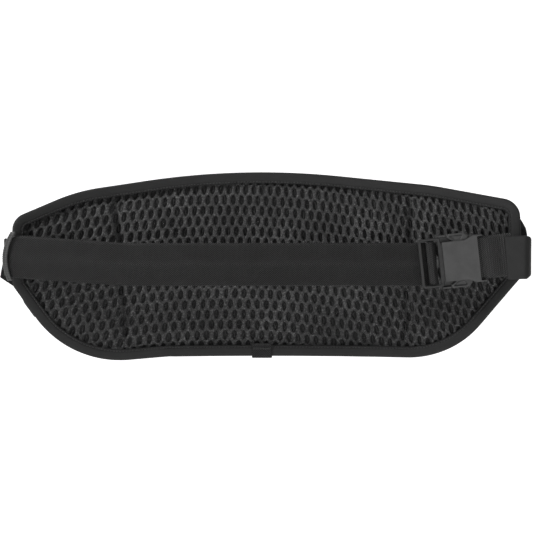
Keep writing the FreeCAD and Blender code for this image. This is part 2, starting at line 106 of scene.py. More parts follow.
# The panel's outline: corners (x, z, rounding), clockwise from the upper left, in millimetres.
PANEL_CORNERS = [
    (-178.8, 34.5, 12), (-135.0, 53.6, 120), (-17.7, 71.2, 560), (118.0, 57.6, 200),
    (178.0, 46.6, 13), (180.0, -5.8, 9), (132.4, -66.3, 65), (-60.0, -66.3, 150),
    (-141.0, -70.0, 72), (-178.8, -12.6, 6),
]


# ------------------------------------------------------------------ geometry helpers

def unit(vectors):
    """Vectors stored along the last axis, each made one long."""
    return vectors / np.linalg.norm(vectors, axis=-1, keepdims=True)


def run_lengths(line):
    """Distance run along a polyline at each of its points."""
    return np.concatenate([[0], np.cumsum(np.linalg.norm(np.diff(line, axis=0), axis=1))])


def smoothstep(value):
    value = np.clip(value, 0.0, 1.0)
    return value * value * (3 - 2 * value)


def wobble(x, z, wave):
    """Smooth, repeatable unevenness between -1 and 1 with about the given wavelength."""
    k = 2 * math.pi / wave
    return (np.sin(k * x + 1.3 * np.sin(k * 0.71 * z))
            + np.sin(k * 0.83 * z + 1.7 * np.sin(k * 0.57 * x + 2.1))
            + np.sin(k * 1.31 * (x + z) + 0.9)) / 3


def outline_loop(corners, inset=0.0):
    """Closed outline with rounded corners, drawn in by inset; the point count never changes."""
    places = np.array([corner[:2] for corner in corners], float) * MM
    radii = np.array([corner[2] for corner in corners], float) * MM
    ahead = unit(np.roll(places, -1, axis=0) - places)
    inward = np.stack([ahead[:, 1], -ahead[:, 0]], axis=1)
    before = np.roll(inward, 1, axis=0)
    spread = 1 + (inward * before).sum(axis=1)
    turns = np.arccos(np.clip(spread - 1, -1, 1))
    diagonal = (inward + before) / spread[:, None]
    moved = places + diagonal * inset
    rounding = np.maximum(radii - inset, 0.6 * MM)
    centres = moved + diagonal * rounding[:, None]
    reach = radii * np.tan(turns / 2)
    loop = []
    count = len(places)
    for i in range(count):
        arc_count = max(5, int(math.ceil(radii[i] * turns[i] / OUTLINE_STEP)))
        start = math.atan2(-before[i][1], -before[i][0])
        share = np.linspace(0, 1, arc_count + 1)
        angles = start - turns[i] * share
        arc = centres[i] + rounding[i] * np.stack([np.cos(angles), np.sin(angles)], axis=1)
        loop.append(arc)
        following = (i + 1) % count
        gap = np.linalg.norm(places[following] - places[i]) - reach[i] - reach[following]
        line_count = max(2, int(math.ceil(gap / OUTLINE_STEP)))
        next_start = centres[following] - inward[i] * rounding[following]
        share = np.linspace(0, 1, line_count + 1)[1:-1, None]
        loop.append(arc[-1] + (next_start - arc[-1]) * share)
    return np.concatenate(loop)


PANEL_LOOP = outline_loop(PANEL_CORNERS)


def edge_distance(x, z):
    """How far a place on the panel is inside its outline."""
    ahead = unit(np.roll(PANEL_LOOP, -1, axis=0) - np.roll(PANEL_LOOP, 1, axis=0))
    inward = np.stack([ahead[:, 1], -ahead[:, 0]], axis=1)
    sizes = (PANEL_LOOP ** 2).sum(axis=1)
    flat = np.stack([np.ravel(x), np.ravel(z)], axis=1)
    distance = np.empty(len(flat))
    for start in range(0, len(flat), 20000):
        part = flat[start:start + 20000]
        nearest = np.argmin(sizes - 2 * part @ PANEL_LOOP.T, axis=1)
        distance[start:start + 20000] = ((part - PANEL_LOOP[nearest]) * inward[nearest]).sum(axis=1)
    return distance.reshape(np.shape(x))


def bent(x, z, radius):
    """Places in space from elevation and radius."""
    x, z, radius = np.broadcast_arrays(x, z, radius)
    return np.stack([x, bend_y + np.sqrt(radius ** 2 - x ** 2), z], axis=-1)


def radial(x, radius):
    """Unit vectors away from the bending axis."""
    return np.stack([x / radius, np.sqrt(1 - (x / radius) ** 2), np.zeros_like(x)], axis=-1)


def channel_line(channel, z):
    """Where a stitched channel runs across the panel."""
    return channel + 0.7 * MM * np.sin(z / (8.5 * MM)) + 0.05 * (z if channel > 0 else -z)


def face_radius(x, z, distance=None):
    """Radius of the padded wearer's face: full between the channels, drawn in at the binding."""
    if distance is None:
        distance = edge_distance(x, z)
    fullness = smoothstep((distance - 6.5 * MM) / (13 * MM))
    radius = PANEL_RADIUS + 1.5 * MM - 2.9 * MM * fullness
    for channel in CHANNELS:
        away = x - channel_line(channel, z)
        radius = radius + 3.1 * MM * fullness * np.exp(-(away / (2.2 * MM)) ** 2)
        radius = radius + 0.9 * MM * fullness * np.exp(-(away / (7.5 * MM)) ** 2)
    return radius + 0.35 * MM * wobble(x, z, 46 * MM) * fullness


def make_piece(name, points, faces, material, weave=None, second=None):
    """Mesh object; faces is a list or array of vertex indices, weave a coordinate per vertex.

    second is (material, faces that wear it)."""
    mesh = bpy.data.meshes.new(name)
    points = np.asarray(points, float).reshape(-1, 3)
    if isinstance(faces, np.ndarray):
        count, sides = faces.shape
        mesh.vertices.add(len(points))
        mesh.vertices.foreach_set("co", points.ravel())
        mesh.loops.add(count * sides)
        mesh.loops.foreach_set("vertex_index", faces.ravel().astype(np.int32))
        mesh.polygons.add(count)
        mesh.polygons.foreach_set("loop_start", np.arange(0, count * sides, sides, dtype=np.int32))
        mesh.update(calc_edges=True)
        mesh.validate()
    else:
        mesh.from_pydata([tuple(point) for point in points], [], [tuple(face) for face in faces])
        mesh.update()
    mesh.materials.append(material)
    if second is not None:
        mesh.materials.append(second[0])
        mesh.polygons.foreach_set("material_index", np.asarray(second[1], np.int32))
    if weave is not None:
        layer = mesh.attributes.new("weave", "FLOAT_VECTOR", "POINT")
        layer.data.foreach_set("vector", np.asarray(weave, float).reshape(-1, 3).ravel())
    obj = bpy.data.objects.new(name, mesh)
    smooth_shading(obj)
    bpy.context.scene.collection.objects.link(obj)
    return obj


def grid_faces(rows, columns, close_rows=False, close_columns=False):
    """Quads of a grid of vertices stored row by row."""
    last_row = rows if close_rows else rows - 1
    last_column = columns if close_columns else columns - 1
    i, j = np.meshgrid(np.arange(last_row), np.arange(last_column), indexing="ij")
    i, j = i.ravel(), j.ravel()
    down, across = (i + 1) % rows, (j + 1) % columns
    return np.stack([i * columns + j, down * columns + j, down * columns + across,
                     i * columns + across], axis=1)


def capped(faces, rows, columns):
    """Faces of a tube of closed rings, with both ends filled."""
    first = list(range(columns))[::-1]
    last = [(rows - 1) * columns + column for column in range(columns)]
    return [tuple(face) for face in faces] + [tuple(first), tuple(last)]


def join(parts):
    """One array of points and one of faces from several (points, faces) pairs."""
    points, faces, start = [], [], 0
    for part_points, part_faces in parts:
        points.append(np.asarray(part_points).reshape(-1, 3))
        faces.append(np.asarray(part_faces) + start)
        start += len(points[-1])
    return np.concatenate(points), np.concatenate(faces)


def outward(obj):
    """Turn a closed piece's faces to point out of it."""
    bpy.context.view_layer.objects.active = obj
    obj.select_set(True)
    bpy.ops.object.mode_set(mode="EDIT")
    bpy.ops.mesh.select_all(action="SELECT")
    bpy.ops.mesh.normals_make_consistent(inside=False)
    bpy.ops.object.mode_set(mode="OBJECT")
    obj.select_set(False)
    return obj


def belongs(obj, body, slot, *nodes):
    """Parent a piece to the empty named for the body it rides on, and hide the CAD nodes that it stands
    for; slot, its finish, is not used.
    """
    if nodes:
        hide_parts(*nodes)
    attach(obj, body)


def weld(obj, distance):
    """Join points that lie closer than a distance, as a modifier."""
    modifier = obj.modifiers.new("weld", "WELD")
    modifier.merge_threshold = distance


def smooth_shading(obj):
    obj.data.polygons.foreach_set("use_smooth", np.full(len(obj.data.polygons), True))


def apply_modifiers(obj):
    """Keep the mesh that the modifiers give and drop the modifiers."""
    graph = bpy.context.evaluated_depsgraph_get()
    mesh = bpy.data.meshes.new_from_object(obj.evaluated_get(graph))
    obj.modifiers.clear()
    obj.data = mesh
    return obj


# ------------------------------------------------------------------ materials

class Shader:
    """A material being built from nodes."""

    def __init__(self, name, roughness=0.7, specular=0.3, sheen=0.0):
        self.material = bpy.data.materials.new(name)
        self.material.use_nodes = True
        self.tree = self.material.node_tree
        self.surface = self.tree.nodes["Principled BSDF"]
        self.surface.inputs["Roughness"].default_value = roughness
        self.surface.inputs["Specular IOR Level"].default_value = specular
        if sheen:
            self.surface.inputs["Sheen Weight"].default_value = sheen
            self.surface.inputs["Sheen Roughness"].default_value = 0.5

    def node(self, kind, settings=None, **links):
        made = self.tree.nodes.new(kind)
        for key, value in (settings or {}).items():
            setattr(made, key, value)
        for key, value in links.items():
            self.feed(made, int(key[1:]) if key[0] == "i" and key[1:].isdigit() else key, value)
        return made

    def feed(self, made, key, value):
        if isinstance(value, bpy.types.NodeSocket):
            self.tree.links.new(value, made.inputs[key])
        else:
            made.inputs[key].default_value = value

    def math(self, operation, first, second=0.0):
        return self.node("ShaderNodeMath", {"operation": operation}, i0=first, i1=second).outputs[0]

    def total(self, *parts):
        """Weighted sum of (value, weight) pairs."""
        scaled = [self.math("MULTIPLY", value, weight) for value, weight in parts]
        result = scaled[0]
        for part in scaled[1:]:
            result = self.math("ADD", result, part)
        return result

    def wave(self, value, pitch):
        """Sine of a length, between 0 and 1, that repeats at a pitch."""
        sine = self.math("SINE", self.math("MULTIPLY", value, 2 * math.pi / pitch))
        half = self.node("ShaderNodeMath", {"operation": "MULTIPLY_ADD"}, i0=sine, i1=0.5, i2=0.5)
        return half.outputs[0]

    def ramp(self, value, stops):
        """Grey that runs through (value, shade) stops."""
        made = self.node("ShaderNodeValToRGB", i0=value)
        elements = made.color_ramp.elements
        while len(elements) < len(stops):
            elements.new(0.5)
        for element, (position, colour) in zip(elements, stops):
            element.position = position
            element.color = (colour, colour, colour, 1.0)
        return made.outputs[0]

    def noise(self, scale, detail=2.0, roughness=0.5):
        made = self.node("ShaderNodeTexNoise")
        made.inputs["Scale"].default_value = scale
        made.inputs["Detail"].default_value = detail
        made.inputs["Roughness"].default_value = roughness
        self.tree.links.new(self.place(), made.inputs["Vector"])
        return made.outputs[0]

    def place(self):
        return self.node("ShaderNodeTexCoord").outputs["Object"]

    def weave(self):
        """The piece's own coordinates: along, across, side."""
        return self.node("ShaderNodeAttribute", {"attribute_name": "weave"}).outputs["Vector"]

    def axes(self, vector):
        return self.node("ShaderNodeSeparateXYZ", i0=vector).outputs

    def colour(self, value):
        self.feed(self.surface, "Base Color", value)

    def relief(self, height, strength, distance):
        made = self.node("ShaderNodeBump", i0=strength)
        made.inputs["Distance"].default_value = distance
        self.tree.links.new(height, made.inputs["Height"])
        self.tree.links.new(made.outputs[0], self.surface.inputs["Normal"])

    def rough(self, value):
        self.feed(self.surface, "Roughness", value)


def herringbone_material(name, low=0.002, high=0.031):
    """Webbing: diagonal ribs that turn at the middle, each rib made of short yarns."""
    shader = Shader(name, roughness=0.5, specular=0.16)
    along, across, _ = shader.axes(shader.weave())
    lean = shader.total((along, 1.0), (shader.math("ABSOLUTE", across), RIB_LEAN))
    ribs = shader.wave(lean, RIB_PITCH)
    yarns = shader.wave(shader.total((across, 1.0), (along, -0.3)), 0.62 * MM)
    patch = shader.noise(70.0, 3.0)
    fuzz = shader.noise(2600.0, 2.0)
    shade = shader.total((ribs, 0.8), (fuzz, 0.25), (patch, 0.2))
    shader.colour(shader.ramp(shade, [(0.2, low), (0.9565, high)]))
    shader.relief(shader.total((ribs, 1.0), (yarns, 0.4), (fuzz, 0.3)), 1.0, 0.2 * MM)
    return shader.material


def plain_weave_material(name, pitch, low, high, roughness=0.6):
    """Fine plain weave from crossing yarns, with slow patches of wear."""
    shader = Shader(name, roughness=roughness, specular=0.3)
    x, y, z = shader.axes(shader.place())
    warp = shader.wave(shader.total((x, 1.0), (y, 0.4)), pitch)
    checks = shader.math("MULTIPLY", warp, shader.wave(z, pitch))
    patch = shader.noise(45.0, 4.0)
    fuzz = shader.noise(1900.0, 2.0)
    shade = shader.total((checks, 0.4), (patch, 0.4), (fuzz, 0.3))
    shader.colour(shader.ramp(shade, [(0.2, low), (0.85, high)]))
    shader.relief(shader.total((checks, 1.0), (fuzz, 0.5)), 0.6, 0.08 * MM)
    return shader.material


def tape_material(name, pitch=0.7 * MM, low=0.006, high=0.016):
    """Grosgrain tape: fine ribs across its length."""
    shader = Shader(name, roughness=0.58, specular=0.28)
    along, across, _ = shader.axes(shader.weave())
    ribs = shader.wave(along, pitch)
    fuzz = shader.noise(2100.0, 2.0)
    patch = shader.noise(60.0, 3.0)
    shade = shader.total((ribs, 0.4), (fuzz, 0.35), (patch, 0.3))
    shader.colour(shader.ramp(shade, [(0.2, low), (0.9, high)]))
    shader.relief(shader.total((ribs, 1.0), (shader.wave(across, 0.45 * MM), 0.5)), 0.6, 0.08 * MM)
    return shader.material


def yarn_material(name):
    """Textured knitting yarn: grey, fuzzy, with bright flecks."""
    shader = Shader(name, roughness=0.62, specular=0.28)
    coarse = shader.noise(750.0, 4.0, roughness=0.7)
    fine = shader.noise(2600.0, 3.0, roughness=0.7)
    patch = shader.math("SUBTRACT", shader.noise(30.0, 2.0), 0.5)
    shade = shader.total((coarse, 0.55), (fine, 0.45), (patch, 0.1))
    shader.colour(shader.ramp(shade, [(0.38, 0.010), (0.53, 0.037), (0.66, 0.20)]))
    shader.relief(shader.math("ADD", coarse, fine), 1.0, 0.45 * MM)
    return shader.material


def back_knit_painted_shade_material(name):
    """The far face of the spacer mesh, seen down its holes; darker than the yarn, its own tone with painted
    shade for the hole floors.
    """
    shader = Shader(name, roughness=0.9, specular=0.15)
    grain = shader.noise(2400.0, 2.0)
    shader.colour(shader.ramp(grain, [(0.3, 0.009), (0.8, 0.042)]))
    shader.relief(grain, 0.5, 0.1 * MM)
    return shader.material


def moulded_material(name, low=0.028, high=0.042, roughness=(0.44, 0.58)):
    """Moulded plastic with a fine spark texture and faint handling marks."""
    shader = Shader(name, specular=0.38)
    spark = shader.noise(3000.0, 2.0)
    cloud = shader.noise(55.0, 5.0, roughness=0.6)
    marks = shader.noise(260.0, 6.0, roughness=0.75)
    shader.colour(shader.ramp(cloud, [(0.3, low), (0.75, high)]))
    shader.rough(shader.ramp(marks, [(0.35, roughness[0]), (0.7, roughness[1])]))
    shader.relief(spark, 0.22, 0.04 * MM)
    return shader.material


def thread_material(name):
    """Twisted sewing thread."""
    shader = Shader(name, roughness=0.55, specular=0.4, sheen=0.1)
    x, y, z = shader.axes(shader.place())
    twist = shader.wave(shader.math("ADD", shader.math("ADD", x, y), z), 0.35 * MM)
    shader.colour(shader.ramp(twist, [(0.0, 0.003), (1.0, 0.026)]))
    shader.relief(twist, 0.6, 0.05 * MM)
    return shader.material


def metal_material(name):
    """Black paint on a small die casting, thinner at its worn places."""
    shader = Shader(name, specular=0.5)
    shader.surface.inputs["Coat Weight"].default_value = 0.25
    shader.surface.inputs["Coat Roughness"].default_value = 0.3
    wear = shader.noise(420.0, 6.0, roughness=0.7)
    shader.colour(shader.ramp(wear, [(0.55, 0.018), (0.78, 0.06)]))
    shader.rough(shader.ramp(wear, [(0.3, 0.28), (0.8, 0.5)]))
    shader.relief(shader.noise(2600.0, 2.0), 0.2, 0.03 * MM)
    return shader.material


MATERIALS = {
    "yarn": yarn_material("spacer_yarn"),
    # Darker than the yarn: the far face's own tone, with painted shade for the holes.
    "floor": back_knit_painted_shade_material("spacer_floor_painted_shade"),
    "webbing": herringbone_material("herringbone_webbing"),
    # Lighter copy of the webbing for the buckle's short loop: painted light on that webbing.
    "loop": herringbone_material("loop_webbing_painted_light", low=0.006, high=0.056),
    "flap": plain_weave_material("flap_weave", 0.75 * MM, 0.008, 0.021, 0.55),
    "shell": plain_weave_material("shell_weave", 0.7 * MM, 0.006, 0.015),
    "tape": tape_material("binding_weave"),
    "zip_tape": tape_material("zip_tape_weave", 0.9 * MM, 0.006, 0.014),
    "elastic": tape_material("elastic_rib", 1.2 * MM, 0.02, 0.08),
    "plastic": moulded_material("acetal"),
    "ladder": moulded_material("acetal_matt", 0.009, 0.015, (0.46, 0.62)),
    "filament": moulded_material("monofilament", 0.03, 0.12, (0.2, 0.35)),
    "coil": moulded_material("nylon_coil", 0.012, 0.03, (0.3, 0.4)),
    "grip": moulded_material("soft_grip", 0.010, 0.02, (0.6, 0.75)),
    "thread": thread_material("thread"),
    "metal": metal_material("black_paint"),
}

# ------------------------------------------------------------------ padded mesh panel

CELL_WIDTH = 6.25 * MM
CELL_HEIGHT = 7.5 * MM
CELL_ROWS = range(-14, 30)
CELL_COLUMNS = range(-34, 35)
HOLE_WIDTH = 1.75 * MM               # half axes of a hole
HOLE_HEIGHT = 3.7 * MM
OPEN_MESH = 9.0 * MM                 # the mesh is clear of the binding this far from the edge
MESH_MARGIN = 3.0 * MM               # cells whose middle is nearer to the edge are left out


def lattice_place(u, v):
    """Lattice coordinates to elevation: the rows arch and the columns spread downwards."""
    x = (u - 0.0003 / MM * u * u) * (1 - 0.0011 / MM * v)
    z = v - 0.000925 / MM * (x + 30 * MM) ** 2 + 2 * MM
    return x, z


def cell_rings():
    """One cell of the knit: rings of points round a hole, and how deep each ring lies."""
    half = CELL_WIDTH / 2
    side = (CELL_HEIGHT ** 2 - half ** 2) / (2 * CELL_HEIGHT)
    peak = (CELL_HEIGHT ** 2 + half ** 2) / (2 * CELL_HEIGHT)
    corners = np.array([(half, -side), (half, side), (0, peak), (-half, side), (-half, -side), (0, -peak)])
    shares = np.arange(4)[:, None] / 4
    border = np.concatenate([corners[i] + (corners[(i + 1) % 6] - corners[i]) * shares
                             for i in range(6)])
    angle = np.arctan2(border[:, 1] / HOLE_HEIGHT, border[:, 0] / HOLE_WIDTH)
    rim = np.stack([HOLE_WIDTH * np.cos(angle), HOLE_HEIGHT * np.sin(angle)], axis=1)
    rings = [rim * 0.02, rim * 0.6, rim * 0.9, rim, rim + (border - rim) * 0.25,
             rim + (border - rim) * 0.6, border]
    depths = np.array([2.4, 2.3, 1.7, 0.85, 0.22, 0.0, 0.1]) * MM
    return np.array(rings), depths


def knit(name, low, high, *nodes):
    """Spacer mesh between two places along the belt, sewn to its neighbours at the channels."""
    rings, depths = cell_rings()
    ring_count, around = rings.shape[:2]
    centres = np.array([((column + 0.5 * (row % 2)) * CELL_WIDTH, row * CELL_HEIGHT)
                        for row in CELL_ROWS for column in CELL_COLUMNS])
    middle_x, middle_z = lattice_place(centres[:, 0], centres[:, 1])
    inside = edge_distance(middle_x, middle_z) > MESH_MARGIN
    centres = centres[inside & (middle_x > low) & (middle_x <= high)]
    count = len(centres)
    # Every hole is a little wider or narrower than the next, and its rim is uneven.
    flat = np.repeat(rings[None], count, axis=0)
    flat[:, :5, :, 0] *= 1 + 0.08 * random.standard_normal((count, 1, 1))
    u = centres[:, None, None, 0] + flat[..., 0]
    v = centres[:, None, None, 1] + flat[..., 1]
    x, z = lattice_place(u, v)
    uneven = np.array([1, 1, 1, 1, 1, 1, 0])[None, :, None] * 0.16 * MM
    x = x + wobble(u * 1.1, v, 5.1 * MM) * uneven
    z = z + wobble(v, u * 0.9, 4.3 * MM) * uneven
    # Cells that would stand past the binding are drawn in under it.
    distance = edge_distance(x, z)
    outside = np.maximum(0, 1.6 * MM - distance)
    shrink = 1 - outside / np.maximum(np.hypot(x, z), 1 * MM)
    x, z = x * shrink, z * shrink
    radius = face_radius(x, z, distance) + depths[None, :, None]
    strand = 0.12 * MM * wobble(x, z, 2.3 * MM) + 0.07 * MM * wobble(x, z, 1.1 * MM)
    radius = radius + strand * np.array([0, 0, 0.3, 0.8, 1, 1, 1])[None, :, None]
    points = bent(x, z, radius)
    ring_faces = grid_faces(ring_count, around, close_columns=True)
    starts = (np.arange(count) * ring_count * around)[:, None, None]
    faces = (ring_faces[None] + starts).reshape(-1, 4)
    # The floor and lower wall of each hole wear the darker floor knit: painted shade down the holes, on the
    # far face's own tone.
    deep = np.tile(np.repeat(np.array([1, 1, 0, 0, 0, 0]), around), count)
    obj = make_piece(name, points, faces, MATERIALS["yarn"], second=(MATERIALS["floor"], deep))
    weld(obj, 0.04 * MM)
    apply_modifiers(obj)
    belongs(obj, "belt", "spacer_mesh", *nodes)


knit("mesh_left", -200 * MM, CHANNELS[0], "foam_left")
knit("mesh_centre", CHANNELS[0], CHANNELS[1], "spacer_mesh", "foam_centre")
knit("mesh_right", CHANNELS[1], 200 * MM, "foam_right")


def thin_tube(start, finish, width, sag):
    """Points and faces of a thin three-sided thread that bows by sag."""
    share = np.linspace(0, 1, 4)
    line = start + (finish - start) * share[:, None]
    line += sag * (4 * share * (1 - share))[:, None]
    along = unit(finish - start)
    side = unit(np.cross(along, (0, 1, 0.1)))
    up = np.cross(along, side)
    angle = np.array([0, 2.09, 4.19])
    ring = (np.cos(angle)[:, None] * side + np.sin(angle)[:, None] * up) * width / 2
    return (line[:, None] + ring[None]).reshape(-1, 3), grid_faces(4, 3, close_columns=True)


def monofilaments():
    """Fine spacer threads that cross the holes between the two faces of the mesh."""
    parts = []
    for row in CELL_ROWS:
        for column in CELL_COLUMNS:
            u, v = (column + 0.5 * (row % 2)) * CELL_WIDTH, row * CELL_HEIGHT
            x, z = lattice_place(u, v)
            if edge_distance(x, z) < OPEN_MESH:
                continue
            depth = float(face_radius(x, z))
            for _ in range(3):
                angle, turn = random.uniform(0, 2 * math.pi), random.uniform(2.2, 4.0)
                a, b = (lattice_place(u + 1.65 * MM * math.cos(side), v + 3.5 * MM * math.sin(side))
                        for side in (angle, angle + turn))
                ends = [bent(*place, depth + random.uniform(0.7, 1.7) * MM) for place in (a, b)]
                sag = random.standard_normal(3) * 0.25 * MM
                parts.append(thin_tube(ends[0], ends[1], 0.13 * MM, sag))
    points, faces = join(parts)
    belongs(make_piece("monofilaments", points, faces, MATERIALS["filament"]), "belt", "spacer_mesh")


monofilaments()

# ------------------------------------------------------------------ stitches


def line_at(places, stations):
    """Points along a polyline, and the directions there."""
    lengths = run_lengths(places)

    def at(shift):
        return np.stack([np.interp(stations + shift, lengths, places[:, i]) for i in range(3)], axis=1)

    return at(0.0), unit(at(0.3 * MM) - at(-0.3 * MM))


def thread_runs(starts, ends, facing, width):
    """Short rounded threads between pairs of points, a little sunk in the fabric at their ends."""
    reach = (ends - starts) / 2
    middle = (starts + ends) / 2
    side = np.cross(unit(reach), facing)
    stops = np.array([-1.0, -0.8, -0.35, 0.35, 0.8, 1.0])[None, :, None, None]
    sizes = np.array([0.15, 0.75, 1.0, 1.0, 0.75, 0.15])[None, :, None, None]
    lift = np.array([-0.5, 0.0, 0.28, 0.28, 0.0, -0.5])[None, :, None, None]
    angle = np.linspace(0, 2 * math.pi, 6, endpoint=False)[None, None, :, None]
    out, across = facing[:, None, None], side[:, None, None]
    core = middle[:, None, None] + reach[:, None, None] * stops + out * lift * width
    points = core + (np.cos(angle) * across + np.sin(angle) * out) * sizes * width / 2
    faces = grid_faces(6, 6, close_columns=True)[None] + (np.arange(len(starts)) * 6 * 6)[:, None, None]
    return points.reshape(-1, 3), faces.reshape(-1, 4)


def stitch_row(places, out, pitch=2.25 * MM, width=0.5 * MM, share=0.8):
    """Stitches along a polyline; out is the way they face, per polyline point."""
    places, out = np.asarray(places), np.broadcast_to(np.asarray(out, float), np.shape(places))
    lengths = run_lengths(places)
    stations = np.arange(pitch / 2, lengths[-1], pitch)
    middle, along = line_at(places, stations)
    facing = unit(np.stack([np.interp(stations, lengths, out[:, i]) for i in range(3)], axis=1))
    reach = along * pitch * share / 2
    return thread_runs(middle - reach, middle + reach, facing, width)


TACK_PITCH = 0.42 * MM


def bar_tack(corner, along, across, facing):
    """Dense zigzag that binds a folded end: threads across, in a row that runs along."""
    count = int(np.linalg.norm(along) / TACK_PITCH)
    share = (np.arange(count) + 0.5)[:, None] / count
    jitter = 1 + 0.05 * random.standard_normal((count, 1))
    starts = corner + along * share
    slant = np.asarray(along) / count * 0.8
    facing = np.broadcast_to(np.asarray(facing, float), starts.shape)
    return thread_runs(starts, starts + across * jitter + slant, facing, TACK_PITCH * 1.15)


def sewing(name, rows, *nodes):
    points, faces = join(rows)
    belongs(make_piece(name, points, faces, MATERIALS["thread"]), "belt", "thread", *nodes)


# ------------------------------------------------------------------ binding

STITCH_INSET = 6.8 * MM


def edge_binding():
    """Tape folded round the edge; its cross-section is given as (inset, radius)."""
    profile = np.array([
        (8.05, 439.6), (8.0, 438.4), (7.75, 437.95), (7.2, 437.9), (6.8, 438.35), (6.3, 437.95),
        (5.4, 437.85), (4.0, 437.85), (2.6, 437.9), (1.4, 438.05), (0.6, 438.4), (0.1, 439.2),
        (-0.05, 440.8),
        (-0.05, 444.0), (0.0, 446.6), (0.3, 448.1), (1.0, 448.9), (2.4, 449.1), (4.4, 449.15),
        (6.4, 449.05), (6.8, 448.8), (7.15, 449.05), (7.7, 449.0), (8.0, 448.7), (8.05, 448.0),
    ]) * MM
    loops = []
    along = run_lengths(PANEL_LOOP)
    across = run_lengths(profile)
    for inset, radius in profile:
        wave = 0.22 * MM * wobble(PANEL_LOOP[:, 0], PANEL_LOOP[:, 1], 23 * MM)
        loop = outline_loop(PANEL_CORNERS, inset)
        edge = smoothstep((inset - 4 * MM) / (4 * MM))
        pucker = 0.14 * MM * np.sin(2 * math.pi * along / (4.5 * MM)) * edge
        swell = 0.25 * MM * wobble(loop[:, 0], loop[:, 1], 31 * MM) * np.sign(443 * MM - radius)
        shift = 1 + edge * wave / 150 / MM
        loops.append(bent(loop[:, 0] * shift, loop[:, 1] * shift, radius + pucker - swell))
    points = np.array(loops)
    rows, columns = points.shape[:2]
    weave = np.stack(np.broadcast_arrays(along[None, :], across[:, None], 0), axis=-1)
    obj = make_piece("binding", points, grid_faces(rows, columns, close_rows=True, close_columns=True),
                     MATERIALS["tape"], weave=weave)
    belongs(outward(obj), "belt", "binding_tape", "edge_binding")
    loop = outline_loop(PANEL_CORNERS, STITCH_INSET)
    loop = np.concatenate([loop, loop[:1]])
    rows = []
    for radius, side in ((438.12, -1), (448.95, 1)):
        line = bent(loop[:, 0], loop[:, 1], radius * MM)
        rows.append(stitch_row(line, side * radial(loop[:, 0], radius * MM), width=0.62 * MM, share=0.72))
    sewing("binding_stitches", rows)


edge_binding()


def channel_stitches():
    """Thread that sews the mesh down between the foam pads."""
    rows = []
    for channel in CHANNELS:
        height = np.linspace(-60 * MM, 64 * MM, 250)
        x = channel_line(channel, height)
        inside = edge_distance(x, height) > OPEN_MESH
        x, height = x[inside], height[inside]
        radius = face_radius(x, height) - 0.1 * MM
        rows.append(stitch_row(bent(x, height, radius), -radial(x, radius), 3.2 * MM, 0.75 * MM))
    sewing("channel_stitches", rows)


channel_stitches()

# ------------------------------------------------------------------ webbing

WEBBING_WIDTH = 30.0 * MM
WEBBING_THICK = 1.6 * MM
BEAD_PITCH = 1.8 * MM


def rounded_path(corners, step=0.25 * MM):
    """Open path in a plane; a corner (a, b, r) is rounded with radius r."""
    points = [np.array(corner[:2], float) * MM for corner in corners]
    line = [points[0][None]]
    for i in range(1, len(points) - 1):
        radius = corners[i][2] * MM
        before = unit(points[i - 1] - points[i])
        after = unit(points[i + 1] - points[i])
        half = math.acos(np.clip(before @ after, -1, 1)) / 2
        start = points[i] + before * radius / math.tan(half)
        finish = points[i] + after * radius / math.tan(half)
        centre = points[i] + unit(before + after) * radius / math.sin(half)
        first = math.atan2(*(start - centre)[::-1])
        sweep = (math.atan2(*(finish - centre)[::-1]) - first + math.pi) % (2 * math.pi) - math.pi
        angle = first + sweep * np.linspace(0, 1, 40)
        line.append(centre + radius * np.stack([np.cos(angle), np.sin(angle)], axis=1))
    line.append(points[-1][None])
    line = np.concatenate(line)
    lengths = run_lengths(line)
    keep = np.concatenate([[True], np.diff(lengths) > 1e-9])
    line, lengths = line[keep], lengths[keep]
    stations = np.linspace(0, lengths[-1], int(lengths[-1] / step) + 2)
    return np.stack([np.interp(stations, lengths, line[:, i]) for i in range(2)], axis=1), stations


